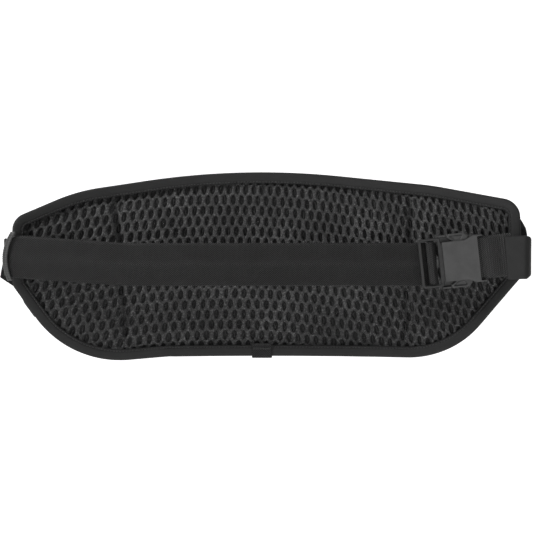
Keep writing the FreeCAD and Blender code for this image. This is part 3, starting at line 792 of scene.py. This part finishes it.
def band(name, route, place, width, thick, material, lean=0.0, rib=0.2 * MM, bead=0.2 * MM, columns=17):
    """Woven band along a path in a plane: real ribs, turned at the middle, and beaded edges.

    route is a path and its stations; place(a, b, w) puts path coordinates and the place across
    the band in space."""
    path, stations = route
    ahead = unit(np.gradient(path, axis=0))
    normal = np.stack([-ahead[:, 1], ahead[:, 0]], axis=1)
    half = width / 2
    spread = np.linspace(-1, 1, columns)
    across = half * (0.3 * np.sin(spread * math.pi / 2) + 0.7 * spread) * (1 - 0.35 * MM / half)
    end = stations[-1]
    step = stations[1] - stations[0]
    spare = np.arange(1, int(lean * half / 2 / step) + 3) * step
    rows = np.concatenate([-spare[::-1], stations, end + spare])
    ring_w = np.concatenate([across, [half], across[::-1], [-half]])
    ring_t = np.concatenate([np.full(columns, 0.5), [0.0], np.full(columns, -0.5), [0.0]])
    ring_t[[0, columns - 1, columns + 1, 2 * columns]] *= 0.72
    moved = np.clip(rows[:, None] + lean * (np.abs(ring_w)[None] - half / 2), 0, end)
    wave = np.sin(2 * math.pi * rows[:, None] / RIB_PITCH)
    lane = np.abs(ring_w) / half
    ribbed = np.where(lane < 0.9, 1.0, 0.25) * (0.35 + 0.65 * smoothstep(np.abs(lane - 0.02) / 0.06))
    side = np.sign(ring_t)
    height = ring_t[None] * thick + side[None] * rib * wave * ribbed[None]
    height = height + side[None] * 0.12 * MM * smoothstep((lane[None] - 0.88) / 0.05)
    beads = bead * np.sin(2 * math.pi * moved / BEAD_PITCH) * smoothstep((lane[None] - 0.9) / 0.1)
    w = ring_w[None] * (1 + beads / half)
    height = height * (1 + 0.9 * beads / thick)
    a = np.interp(moved, stations, path[:, 0])
    b = np.interp(moved, stations, path[:, 1])
    na = np.interp(moved, stations, normal[:, 0])
    nb = np.interp(moved, stations, normal[:, 1])
    points = place(a + na * height, b + nb * height, w)
    weave = np.stack([moved, np.broadcast_to(w, moved.shape), np.broadcast_to(side, moved.shape)], axis=-1)
    faces = grid_faces(len(rows), len(ring_w), close_columns=True)
    obj = make_piece(name, points, capped(faces, len(rows), len(ring_w)), material, weave=weave)
    weld(obj, 0.004 * MM)
    apply_modifiers(obj)
    return outward(obj)


def strap_height(x):
    """Height of the strap's middle line."""
    slope = (2.85 - 10.0) / (200 - 98.8)
    falling = 2.85 * MM + slope * (x + 98.8 * MM)
    bend = smoothstep((x + 115 * MM) / (32 * MM))
    return falling * (1 - bend) + 2.82 * MM * bend


def strap_place(a, b, w):
    """The strap sags a little, cups across and is pinched at its sewn end."""
    pinch = smoothstep((-170 * MM - a) / (13 * MM))
    w = w * (1 - np.where(w > 0, 0.2, 0.06) * pinch)
    slack = 0.45 * MM * np.sin(a / (21 * MM)) * smoothstep((a + 160 * MM) / (40 * MM))
    cup = 0.35 * MM * (w / (15 * MM)) ** 2 * np.sin(a / (37 * MM) + 1.0)
    return np.stack([a, b + slack * smoothstep((110 * MM - a) / (30 * MM)) + cup,
                     strap_height(a) + w], axis=-1)


# The strap's sewn end lies on the tangent that touches the panel's face here.
LEG_TOUCH = 170.0 * MM
LEG_DEPTH = math.sqrt((436.5 * MM) ** 2 - LEG_TOUCH ** 2)
LEG_SEWN = -162.0 * MM

strap_low, strap_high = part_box("main_strap")
RUN_PLANE = strap_low.y + WEBBING_THICK / 2
TAIL_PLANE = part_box("strap_tail")[0].y + WEBBING_THICK / 2


def webbing():
    """The strap's main run with its sewn end, and the free tail behind it."""
    corner = -(LEG_TOUCH + (bend_y + LEG_DEPTH - RUN_PLANE) * LEG_DEPTH / LEG_TOUCH)
    sewn = bend_y + LEG_DEPTH - (-LEG_SEWN - LEG_TOUCH) * LEG_TOUCH / LEG_DEPTH
    tail_low, tail_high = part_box("strap_tail")
    for name, node, corners in (
            ("strap", "main_strap", [(strap_high.x, RUN_PLANE, 0), (corner, RUN_PLANE, 3.4 * MM),
                                     (LEG_SEWN, sewn, 0)]),
            ("tail", "strap_tail", [(tail_high.x, TAIL_PLANE, 0), (tail_low.x, TAIL_PLANE, 0)])):
        route = rounded_path(np.array(corners) / MM)
        piece = band(name, route, strap_place, WEBBING_WIDTH, WEBBING_THICK, MATERIALS["webbing"], RIB_LEAN)
        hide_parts(node)
        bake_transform(piece)


webbing()

# ------------------------------------------------------------------ buckle

buckle_axis = -Vector(joints["buckle_release"]["axis"])
pivots = [Vector(joints[name]["pos_m"]) for name in ("squeeze_upper", "squeeze_lower")]
PIVOT_STATION = 2.3 * MM
buckle_origin = (pivots[0] + pivots[1]) / 2 - buckle_axis * PIVOT_STATION
BUCKLE_TURN = math.atan2(buckle_axis.z, buckle_axis.x)


def buckle_place(u, v, w):
    """Buckle coordinates (along, out of its face, up) in space."""
    turn, lift = math.cos(BUCKLE_TURN), math.sin(BUCKLE_TURN)
    u, v, w = np.broadcast_arrays(u, v, w)
    return np.stack([buckle_origin.x + u * turn - w * lift, buckle_origin.y + v,
                     buckle_origin.z + u * lift + w * turn], axis=-1)


def looped_webbing():
    """The strap's fold over the ladder lock's bar, and the short webbing round the socket's bar."""
    turn, station = 2.35, -8.0
    leg_end = (RUN_PLANE - WEBBING_THICK - buckle_origin.y) / MM - 0.3
    route = rounded_path([(station - turn, leg_end), (station - turn, -turn, turn - 0.02),
                          (station + turn, -turn, turn - 0.02), (station + turn, leg_end)], 0.15 * MM)
    wrap = band("wrap", route, buckle_place, WEBBING_WIDTH - 0.6 * MM, WEBBING_THICK, MATERIALS["webbing"],
                rib=0.1 * MM, columns=13)
    belongs(wrap, "buckle_plug", "webbing", "strap_wrap")
    turn, station, end = 2.55, 27.2, 49
    route = rounded_path([(end, 0.85), (39.5, 0.85, 8), (32.0, -turn, 12),
                          (station - turn, -turn, turn - 0.02), (station - turn, turn, turn - 0.02),
                          (end, turn)])
    # The loop wears the lighter webbing copy: painted light on the short webbing.
    loop = band("buckle_loop", route, buckle_place, WEBBING_WIDTH - 0.4 * MM, WEBBING_THICK,
                MATERIALS["loop"], rib=0.16 * MM)
    belongs(loop, "belt", "webbing", "buckle_webbing")


looped_webbing()


def vertex_places(mesh):
    places = np.zeros(len(mesh.vertices) * 3)
    mesh.vertices.foreach_get("co", places)
    return places.reshape(-1, 3)


def node_points(node):
    """The vertices of a CAD node, and its triangles."""
    mesh = frame["nodes"][node].data
    mesh.calc_loop_triangles()
    faces = np.zeros(len(mesh.loop_triangles) * 3, np.int32)
    mesh.loop_triangles.foreach_get("vertices", faces)
    return vertex_places(mesh), faces.reshape(-1, 3)


def moulded_copy(name, node, body, slot, material, voxel, rounds=4, turn=0.0, shape=None):
    """Copy of a CAD part with rounded edges and corners, for a moulded or cast piece.

    The copy is remeshed turned, so that its voxels lie along the part; shape moves its points."""
    points, faces = node_points(node)
    rotation = np.array([[math.cos(turn), 0, math.sin(turn)], [0, 1, 0],
                         [-math.sin(turn), 0, math.cos(turn)]])
    obj = make_piece(name, points @ rotation.T, [tuple(face) for face in faces], material)
    weld(obj, 0.001 * MM)
    remesh = obj.modifiers.new("remesh", "REMESH")
    remesh.mode = "VOXEL"
    remesh.voxel_size = voxel
    smooth = obj.modifiers.new("smooth", "SMOOTH")
    smooth.factor = 0.5
    smooth.iterations = rounds
    apply_modifiers(obj)
    places = vertex_places(obj.data) @ rotation
    if shape is not None:
        places = shape(places)
    obj.data.vertices.foreach_set("co", places.ravel())
    obj.data.materials.clear()
    obj.data.materials.append(material)
    smooth_shading(obj)
    obj.data.update()
    belongs(obj, body, slot, node)


BUCKLE_VOXEL = 0.26 * MM


def dish_plate(places):
    """The socket's plate is slightly dished: its far end flares towards the wearer's hand."""
    x, y, z = places.T
    along = (x - buckle_origin.x) * buckle_axis.x + (z - buckle_origin.z) * buckle_axis.z
    outer = smoothstep((buckle_origin.y - 2.6 * MM - y) / (0.6 * MM))
    dish = np.clip((along - 6 * MM) / (22 * MM), 0, 1) ** 2
    rim = np.exp(-((along - 28.2 * MM) / (0.9 * MM)) ** 2)
    places[:, 1] -= (1.3 * MM * dish + 0.25 * MM * rim) * outer
    return places


for piece_name, node_name, body_name, material_name, reshape in (
        ("socket", "buckle_socket", "belt", "plastic", dish_plate),
        ("plug", "buckle_plug", "buckle_plug", "ladder", None),
        ("arm_upper", "squeeze_arm_upper", "squeeze_arm_upper", "plastic", None),
        ("arm_lower", "squeeze_arm_lower", "squeeze_arm_lower", "plastic", None)):
    moulded_copy(piece_name, node_name, body_name, "buckle_plastic", MATERIALS[material_name], BUCKLE_VOXEL,
                 turn=BUCKLE_TURN, shape=reshape)

# ------------------------------------------------------------------ end flap, wings, keeper, tab


def round_corner(places, x, z, radius):
    """Draw the points outside a corner's arc back onto it; (x, z) is the arc's centre."""
    beyond = (places[:, 0] > x) & (places[:, 2] > z)
    reach = np.hypot(places[:, 0] - x, places[:, 2] - z)
    pull = np.where(beyond & (reach > radius), radius / np.maximum(reach, 1e-6), 1.0)
    places[:, 0] = x + (places[:, 0] - x) * pull
    places[:, 2] = z + (places[:, 2] - z) * pull
    return places


def fabric_copy(name, node, slot, material, voxel, crumple, wave, rounds=3, corner=0.0):
    """Copy of a CAD part as soft fabric: rounded edges and a gently crumpled surface."""
    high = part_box(node)[1]

    def soften(places):
        if corner:
            places = round_corner(places, high.x - corner, high.z - corner, corner)
        x, _, z = places.T
        places[:, 1] += crumple * (wobble(x, z, wave) + 0.4 * wobble(z, x, wave / 2.7))
        return places

    moulded_copy(name, node, "belt", slot, MATERIALS[material], voxel, rounds, shape=soften)


fabric_copy("end_flap", "right_flap", "flap_fabric", "flap", 0.35 * MM, 0.1 * MM, 23 * MM, corner=3.6 * MM)
fabric_copy("left_corner", "wing_left", "shell_fabric", "shell", 0.5 * MM, 0.5 * MM, 14 * MM)
fabric_copy("right_corner", "wing_right", "shell_fabric", "shell", 0.5 * MM, 0.5 * MM, 14 * MM)
fabric_copy("lining", "backing_fabric", "lining", "shell", 1.3 * MM, 0.25 * MM, 38 * MM, rounds=2)


def tab():
    """Short folded webbing under the lower edge, with its bar tack."""
    low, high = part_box("bottom_tab")
    front, back = low.y / MM + 0.4, high.y / MM - 0.4
    fold = low.z / MM + 0.4
    route = rounded_path([(front, fold + 10.0), (front, fold, 0.7), (back, fold, 0.7), (back, fold + 8.0)],
                         0.2 * MM)
    middle = (low.x + high.x) / 2

    def place(a, b, w):
        return np.stack([middle + w, a, b], axis=-1)

    obj = band("folded_tab", route, place, high.x - low.x, 0.8 * MM, MATERIALS["webbing"], rib=0.07 * MM,
               bead=0.12 * MM, columns=11)
    belongs(obj, "belt", "binding_tape", "bottom_tab")


tab()


def keeper():
    """Ribbed elastic loop round the strap: a bowed front band and straight sides."""
    low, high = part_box("strap_keeper")
    lean = math.radians(4.041)           # the strap's slope at its left end
    centre_x, centre_z = -179.4 * MM, 8.55 * MM
    cord_pitch = 1.55 * MM
    half_height = (high.z - low.z) / 2 - 0.5 * MM
    corners = [(low.y / MM + 0.5, -half_height / MM), (low.y / MM + 0.5, half_height / MM),
               (high.y / MM - 0.5, half_height / MM), (high.y / MM - 0.5, -half_height / MM)]
    steps = []
    per_side = (150, 24, 150, 24)
    for i, (a, b) in enumerate(zip(corners, corners[1:] + corners[:1])):
        share = np.linspace(0, 1, per_side[i], endpoint=False)[:, None]
        steps.append(np.array(a) + (np.array(b) - np.array(a)) * share)
    line = np.concatenate(steps) * MM
    middle = line.mean(axis=0)
    ahead = unit(np.roll(line, -1, axis=0) - np.roll(line, 1, axis=0))
    out = np.stack([-ahead[:, 1], ahead[:, 0]], axis=1)
    out *= np.sign(((line - middle) * out).sum(axis=1))[:, None]
    columns = 13
    spread = np.linspace(-1, 1, columns)
    ring_x = np.concatenate([spread, spread[::-1]]) * 1.75 * MM
    ring_t = np.concatenate([np.full(columns, 0.5), np.full(columns, -0.05)]) * MM
    ring_t[[0, columns - 1, columns, -1]] *= 0.5
    along = run_lengths(line)
    cords = np.abs(np.sin(np.linspace(0, 2 * math.pi, columns)))
    cords = np.concatenate([cords, cords[::-1]]) * np.where(ring_t > 0, 0.32, -0.05) * MM
    wave = np.sin(2 * math.pi * along / cord_pitch)[:, None]
    lift = ring_t[None] + cords[None] * (0.7 + 0.3 * wave)
    front = smoothstep((middle[0] - line[:, 0]) / (1.0 * MM))
    bow = -4.2 * MM * (1 - (line[:, 1] / half_height) ** 2) * front
    x = 1.4 * MM + bow[:, None] + ring_x[None] * (1 + 0.06 * wave)
    y = line[:, 0][:, None] + out[:, 0][:, None] * lift
    z = line[:, 1][:, None] + out[:, 1][:, None] * lift
    points = np.stack([centre_x + x * math.cos(lean) + z * math.sin(lean), y,
                       centre_z - x * math.sin(lean) + z * math.cos(lean)], axis=-1)
    weave = np.stack(np.broadcast_arrays(along[:, None], ring_x[None], 0), axis=-1)
    faces = grid_faces(len(line), len(ring_x), close_rows=True, close_columns=True)
    obj = make_piece("keeper", points, faces, MATERIALS["elastic"], weave=weave)
    belongs(outward(obj), "strap_keeper", "elastic", "strap_keeper")


keeper()

# ------------------------------------------------------------------ pocket

POCKET_INSET = 8.4 * MM              # the CAD pocket's edge, inside the panel's
SEAM_INSET = POCKET_INSET - 1.2 * MM  # where the shell is sewn down, just under the binding
SEAM_RADIUS = 449.4 * MM
CROWN_RADIUS = 135.571 * MM
CROWN_APEX = 463.5 * MM
TAPER_RADIUS = 270.5 * MM
TAPER_CENTRE = -208.8 * MM
ZIP_HEIGHT = 30.0 * MM
ZIP_WINDOW = 13.0 * MM
ZIP_HALF_ANGLE = math.radians(15.2)
ROWS_BELOW, ROWS_ABOVE = 32, 13      # rows of the shell's mesh below and above the zip's middle line
ZIP_REACH = 460.0 * MM               # from the bending axis
zip_lean = math.asin(ZIP_HEIGHT / CROWN_RADIUS)


def crown_y(x, z):
    """Far face of the full pocket."""
    radius = CROWN_APEX - CROWN_RADIUS + np.sqrt(CROWN_RADIUS ** 2 - z ** 2)
    crowned = bend_y + np.sqrt(radius ** 2 - x ** 2)
    tapered = TAPER_CENTRE + np.sqrt(TAPER_RADIUS ** 2 - x ** 2)
    blend = 4 * MM
    return -blend * np.logaddexp(-crowned / blend, -tapered / blend)


def pocket_grid():
    """Rows of places on the pocket: below the zip, across its window, and above it."""
    loop = outline_loop(PANEL_CORNERS, SEAM_INSET)
    left, right = loop[:, 0].min() + 0.4 * MM, loop[:, 0].max() - 0.4 * MM
    columns = np.linspace(left, right, 131)
    edges = []
    for chain in (loop[loop[:, 1] > 0], loop[loop[:, 1] <= 0]):
        order = np.argsort(chain[:, 0])
        edges.append(np.interp(columns, chain[order, 0], chain[order, 1]))
    top, bottom = edges
    half = ZIP_WINDOW / 2 * math.cos(zip_lean)
    room = smoothstep((165 * MM - np.abs(columns)) / (40 * MM))
    middle = ZIP_HEIGHT * room + (bottom + (top - bottom) * 0.72) * (1 - room)
    half = half * (0.25 + 0.75 * room)
    below, above = np.linspace(0, 1, ROWS_BELOW)[:, None], np.linspace(0, 1, ROWS_ABOVE)[:, None]
    z = np.concatenate([bottom + (middle - half - bottom) * below, middle[None],
                        middle + half + (top - middle - half) * above])
    return np.broadcast_to(columns, z.shape), z


SETTLE_FRAMES = 20
SETTLE_LIMIT = 4.0 * MM              # no point of the shell moves further than this


def settle(points, faces, pinned):
    """Cloth simulation of a slightly full sheet held at its pins; returns the settled points."""
    obj = make_piece("settling", points, faces, MATERIALS["shell"])
    group = obj.vertex_groups.new(name="pins")
    group.add([int(i) for i in np.nonzero(pinned)[0]], 1.0, "REPLACE")
    cloth = obj.modifiers.new("cloth", "CLOTH")
    settings = cloth.settings
    settings.quality = 6
    settings.mass = 0.25
    settings.tension_stiffness = 25
    settings.compression_stiffness = 25
    settings.shear_stiffness = 8
    settings.bending_stiffness = 0.8
    settings.shrink_min = -0.035
    settings.vertex_group_mass = "pins"
    settings.use_pressure = True
    settings.uniform_pressure_force = 0.6
    settings.effector_weights.gravity = 0.0
    cloth.collision_settings.use_collision = False
    cloth.point_cache.frame_start = 1
    cloth.point_cache.frame_end = SETTLE_FRAMES
    for step in range(1, SETTLE_FRAMES + 1):
        bpy.context.scene.frame_set(step)
    graph = bpy.context.evaluated_depsgraph_get()
    mesh = obj.evaluated_get(graph).to_mesh()
    settled = vertex_places(mesh)
    obj.evaluated_get(graph).to_mesh_clear()
    bpy.data.objects.remove(obj)
    bpy.context.scene.frame_set(1)
    move = settled - points
    size = np.linalg.norm(move, axis=1)
    return points + move * (np.minimum(size, SETTLE_LIMIT) / np.maximum(size, 1e-9))[:, None]


def pocket():
    """Full outer shell with an open window for the zip, and the stitches along the window."""
    x, z = pocket_grid()
    rows, columns = x.shape
    window_row = ROWS_BELOW
    distance = edge_distance(x, z) - SEAM_INSET
    seam_y = bend_y + np.sqrt(SEAM_RADIUS ** 2 - x ** 2)
    rise = np.sqrt(1 - (1 - np.clip(distance / (11 * MM), 0, 1)) ** 2)
    y = seam_y + (crown_y(x, z) - 0.5 * MM - seam_y) * rise
    points = np.stack([x, y, z], axis=-1).reshape(-1, 3)
    angle = np.arcsin(x[0] / (462 * MM))
    in_window = np.abs(angle) < ZIP_HALF_ANGLE
    faces = grid_faces(rows, columns)
    row = faces[:, 0] // columns
    column = faces[:, 0] % columns
    hole = ((row == window_row) | (row == window_row - 1)) & in_window[column] & in_window[column + 1]
    faces = faces[~hole][:, ::-1]
    pinned = np.zeros((rows, columns), bool)
    pinned[[0, -1]] = True
    pinned[:, [0, -1]] = True
    pinned[window_row - 1:window_row + 2, in_window] = True
    settled = settle(points, faces, pinned.ravel())
    obj = make_piece("pocket_shell", settled, faces, MATERIALS["shell"])
    weld(obj, 0.001 * MM)
    solid = obj.modifiers.new("solid", "SOLIDIFY")
    solid.thickness = 0.9 * MM
    solid.offset = -1
    fine = obj.modifiers.new("fine", "SUBSURF")
    fine.levels = fine.render_levels = 1
    apply_modifiers(obj)
    smooth_shading(obj)
    belongs(obj, "belt", "shell_fabric", "pocket_front")
    edge = []
    for edge_row in (window_row - 1, window_row + 1):
        line = settled.reshape(rows, columns, 3)[edge_row, in_window].copy()
        line[:, 2] += (2.2 * MM if edge_row > window_row else -2.2 * MM)
        line[:, 1] = crown_y(line[:, 0], line[:, 2]) - 0.35 * MM
        edge.append(stitch_row(line, np.array([0, 1, 0.2]), pitch=2.6 * MM, width=0.45 * MM))
    sewing("zip_stitches", edge)


pocket()

# ------------------------------------------------------------------ zip


def zip_place(angle, out, up):
    """Zip coordinates in space: angle along it, out of the pocket, up its face."""
    reach = CROWN_APEX - CROWN_RADIUS * (1 - math.cos(zip_lean))
    radius = reach + out * math.cos(zip_lean) - up * math.sin(zip_lean)
    height = ZIP_HEIGHT + out * math.sin(zip_lean) + up * math.cos(zip_lean)
    radius, height, angle = np.broadcast_arrays(radius, height, angle)
    return np.stack([radius * np.sin(angle), bend_y + radius * np.cos(angle), height], axis=-1)


def zip_half_angle(node):
    """Half the angle that a zip part takes up round the bend."""
    return math.asin(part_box(node)[1].x / (460.5 * MM))


def zip_tapes():
    """Woven tapes with a rib beside the coil and a turned outer edge."""
    half_angle = zip_half_angle("zip_tape_upper")
    angle = np.linspace(-half_angle, half_angle, 420)
    along = angle[:, None] * ZIP_REACH
    ripple = 0.06 * MM * np.sin(2 * math.pi * along / (1.9 * MM))
    for name, node, side in (("tape_upper", "zip_tape_upper", 1), ("tape_lower", "zip_tape_lower", -1)):
        profile = MM * np.array([
            (-2.3, 2.3), (-2.15, 3.0), (-2.28, 3.6), (-2.3, 6.0), (-2.3, 9.8), (-2.45, 10.5),
            (-2.75, 10.5), (-2.9, 9.8), (-2.9, 6.0), (-2.9, 3.6), (-2.95, 3.0), (-2.9, 2.3)])
        points = zip_place(angle[:, None], profile[None, :, 0] + ripple, side * profile[None, :, 1])
        weave = np.stack(np.broadcast_arrays(along, profile[None, :, 1], 0), axis=-1)
        faces = capped(grid_faces(len(angle), len(profile), close_columns=True), len(angle), len(profile))
        obj = make_piece(name, points, faces, MATERIALS["zip_tape"], weave=weave)
        belongs(outward(obj), "belt", "zip_tape", node)


def zip_coils():
    """Each coil: a flattened nylon spiral whose crowns meet at the closing line."""
    half_angle = zip_half_angle("zip_coil_upper")
    pitch = 1.4 * MM / ZIP_REACH
    turns = int(2 * half_angle / pitch)
    steps = 10
    phase = np.linspace(0, 2 * math.pi * turns, turns * steps)
    for name, node, side in (("coil_upper", "zip_coil_upper", 1), ("coil_lower", "zip_coil_lower", -1)):
        start = -half_angle + (0 if side > 0 else 0.5 * pitch)
        angle = start + (2 * half_angle - pitch) * phase / phase[-1]
        out = (-2.45 + 0.7 * np.sin(phase)) * MM
        up = side * (1.25 + 0.95 * np.cos(phase)) * MM
        core = zip_place(angle, out, up)
        ahead = unit(np.gradient(core, axis=0))
        side_way = unit(np.cross(ahead, (0.3, 0.9, 0.2)))
        up_way = np.cross(ahead, side_way)
        ring = np.linspace(0, 2 * math.pi, 6, endpoint=False)
        points = core[:, None] + 0.24 * MM * (np.cos(ring)[None, :, None] * side_way[:, None]
                                              + np.sin(ring)[None, :, None] * up_way[:, None])
        faces = capped(grid_faces(len(core), 6, close_columns=True), len(core), 6)
        obj = make_piece(name, points, faces, MATERIALS["coil"])
        belongs(outward(obj), "belt", "zip_coil", node)


zip_tapes()
zip_coils()
for piece_name, node_name, body_name in (
        ("slider", "zip_slider", "zip_slider"), ("top_stops", "zip_top_stops", "belt"),
        ("bottom_stop", "zip_bottom_stop", "belt"), ("pull_tab", "puller_tab", "zip_puller")):
    moulded_copy(piece_name, node_name, body_name, "zip_metal", MATERIALS["metal"], 0.13 * MM)
moulded_copy("pull_grip", "puller_grip", "zip_puller", "grip_rubber", MATERIALS["grip"], 0.2 * MM)


def bar_tacks():
    """Zigzags on the folded tab and where the buckle's webbing enters the end flap."""
    tab_low, tab_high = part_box("bottom_tab")
    margin = 1.1 * MM
    length = tab_high.x - tab_low.x - 2 * margin
    rows = [bar_tack(np.array([tab_low.x + margin, tab_low.y - 0.05 * MM, height]),
                     np.array([length, 0, 0]), np.array([0, 0, 1.5 * MM]), (0, -1, 0))
            for height in (tab_high.z - 1.6 * MM, tab_high.z - 4.4 * MM)]
    for reach in (36.6, 39.2):
        corner, top = buckle_place(np.array([reach, reach]) * MM, 0.02 * MM, np.array([-12.6, 12.6]) * MM)
        rows.append(bar_tack(corner, top - corner, np.array([1.6 * MM, 0.0, 0.18 * MM]), (0, -1, 0)))
    sewing("tacks", rows, "bar_tacks")


bar_tacks()

# ------------------------------------------------------------------ floor and light


def backdrop():
    """White paper floor and the lit sweep behind it."""
    papers = []
    for name, glow in (("floor_paper", 0.25), ("sweep_paper", 0.85)):
        shader = Shader(name, roughness=0.9, specular=0.1)
        grain = shader.noise(350.0, 3.0)
        shader.colour(shader.ramp(grain, [(0.3, 0.89), (0.7, 0.91)]))
        shader.relief(grain, 0.05, 0.1 * MM)
        shader.surface.inputs["Emission Color"].default_value = (1, 1, 1, 1)
        shader.surface.inputs["Emission Strength"].default_value = glow
        papers.append(shader.material)
    x = np.array([-9.0, 9.0])
    profile = [(-9.0, 0.0), (0.95, 0.0), (1.6, 0.0), (2.1, 0.08), (2.4, 0.4), (2.5, 1.0), (2.5, 2.6)]
    points = [(side, y, z - 0.42) for y, z in profile for side in x]
    obj = make_piece("floor", points, grid_faces(len(profile), 2)[:, ::-1].copy(), papers[0],
                     second=(papers[1], [0, 1, 1, 1, 1, 1]))


def area_light(name, place, target, size, power):
    data = bpy.data.lights.new(name, "AREA")
    data.shape = "RECTANGLE"
    data.size, data.size_y = size
    data.energy = power
    obj = bpy.data.objects.new(name, data)
    bpy.context.scene.collection.objects.link(obj)
    obj.location = place
    obj.rotation_euler = (Vector(target) - Vector(place)).to_track_quat("-Z", "Y").to_euler()


def world():
    """White surroundings that light the belt only dimly."""
    made = bpy.data.worlds.new("world")
    made.use_nodes = True
    tree = made.node_tree
    seen = tree.nodes["Background"]
    seen.inputs["Color"].default_value = (1, 1, 1, 1)
    dim = tree.nodes.new("ShaderNodeBackground")
    dim.inputs["Color"].default_value = (1, 1, 1, 1)
    dim.inputs["Strength"].default_value = 0.1
    rays = tree.nodes.new("ShaderNodeLightPath")
    mix = tree.nodes.new("ShaderNodeMixShader")
    tree.links.new(rays.outputs["Is Camera Ray"], mix.inputs[0])
    tree.links.new(dim.outputs[0], mix.inputs[1])
    tree.links.new(seen.outputs[0], mix.inputs[2])
    tree.links.new(mix.outputs[0], tree.nodes["World Output"].inputs["Surface"])
    bpy.context.scene.world = made


backdrop()
world()
area_light("key", (-0.60, -0.32, 0.36), (0, 0, 0), (0.26, 0.2), 6.0)
area_light("fill", (0.16, -0.95, -0.08), (0.08, 0, 0), (0.4, 0.4), 2.6)
area_light("top", (0.35, -0.3, 0.9), (0.08, 0, 0), (0.6, 0.3), 3.2)
area_light("back", (-0.5, 1.0, 0.7), (0, 0, 0), (0.6, 0.4), 8.0)
bpy.context.scene.view_settings.view_transform = "Standard"
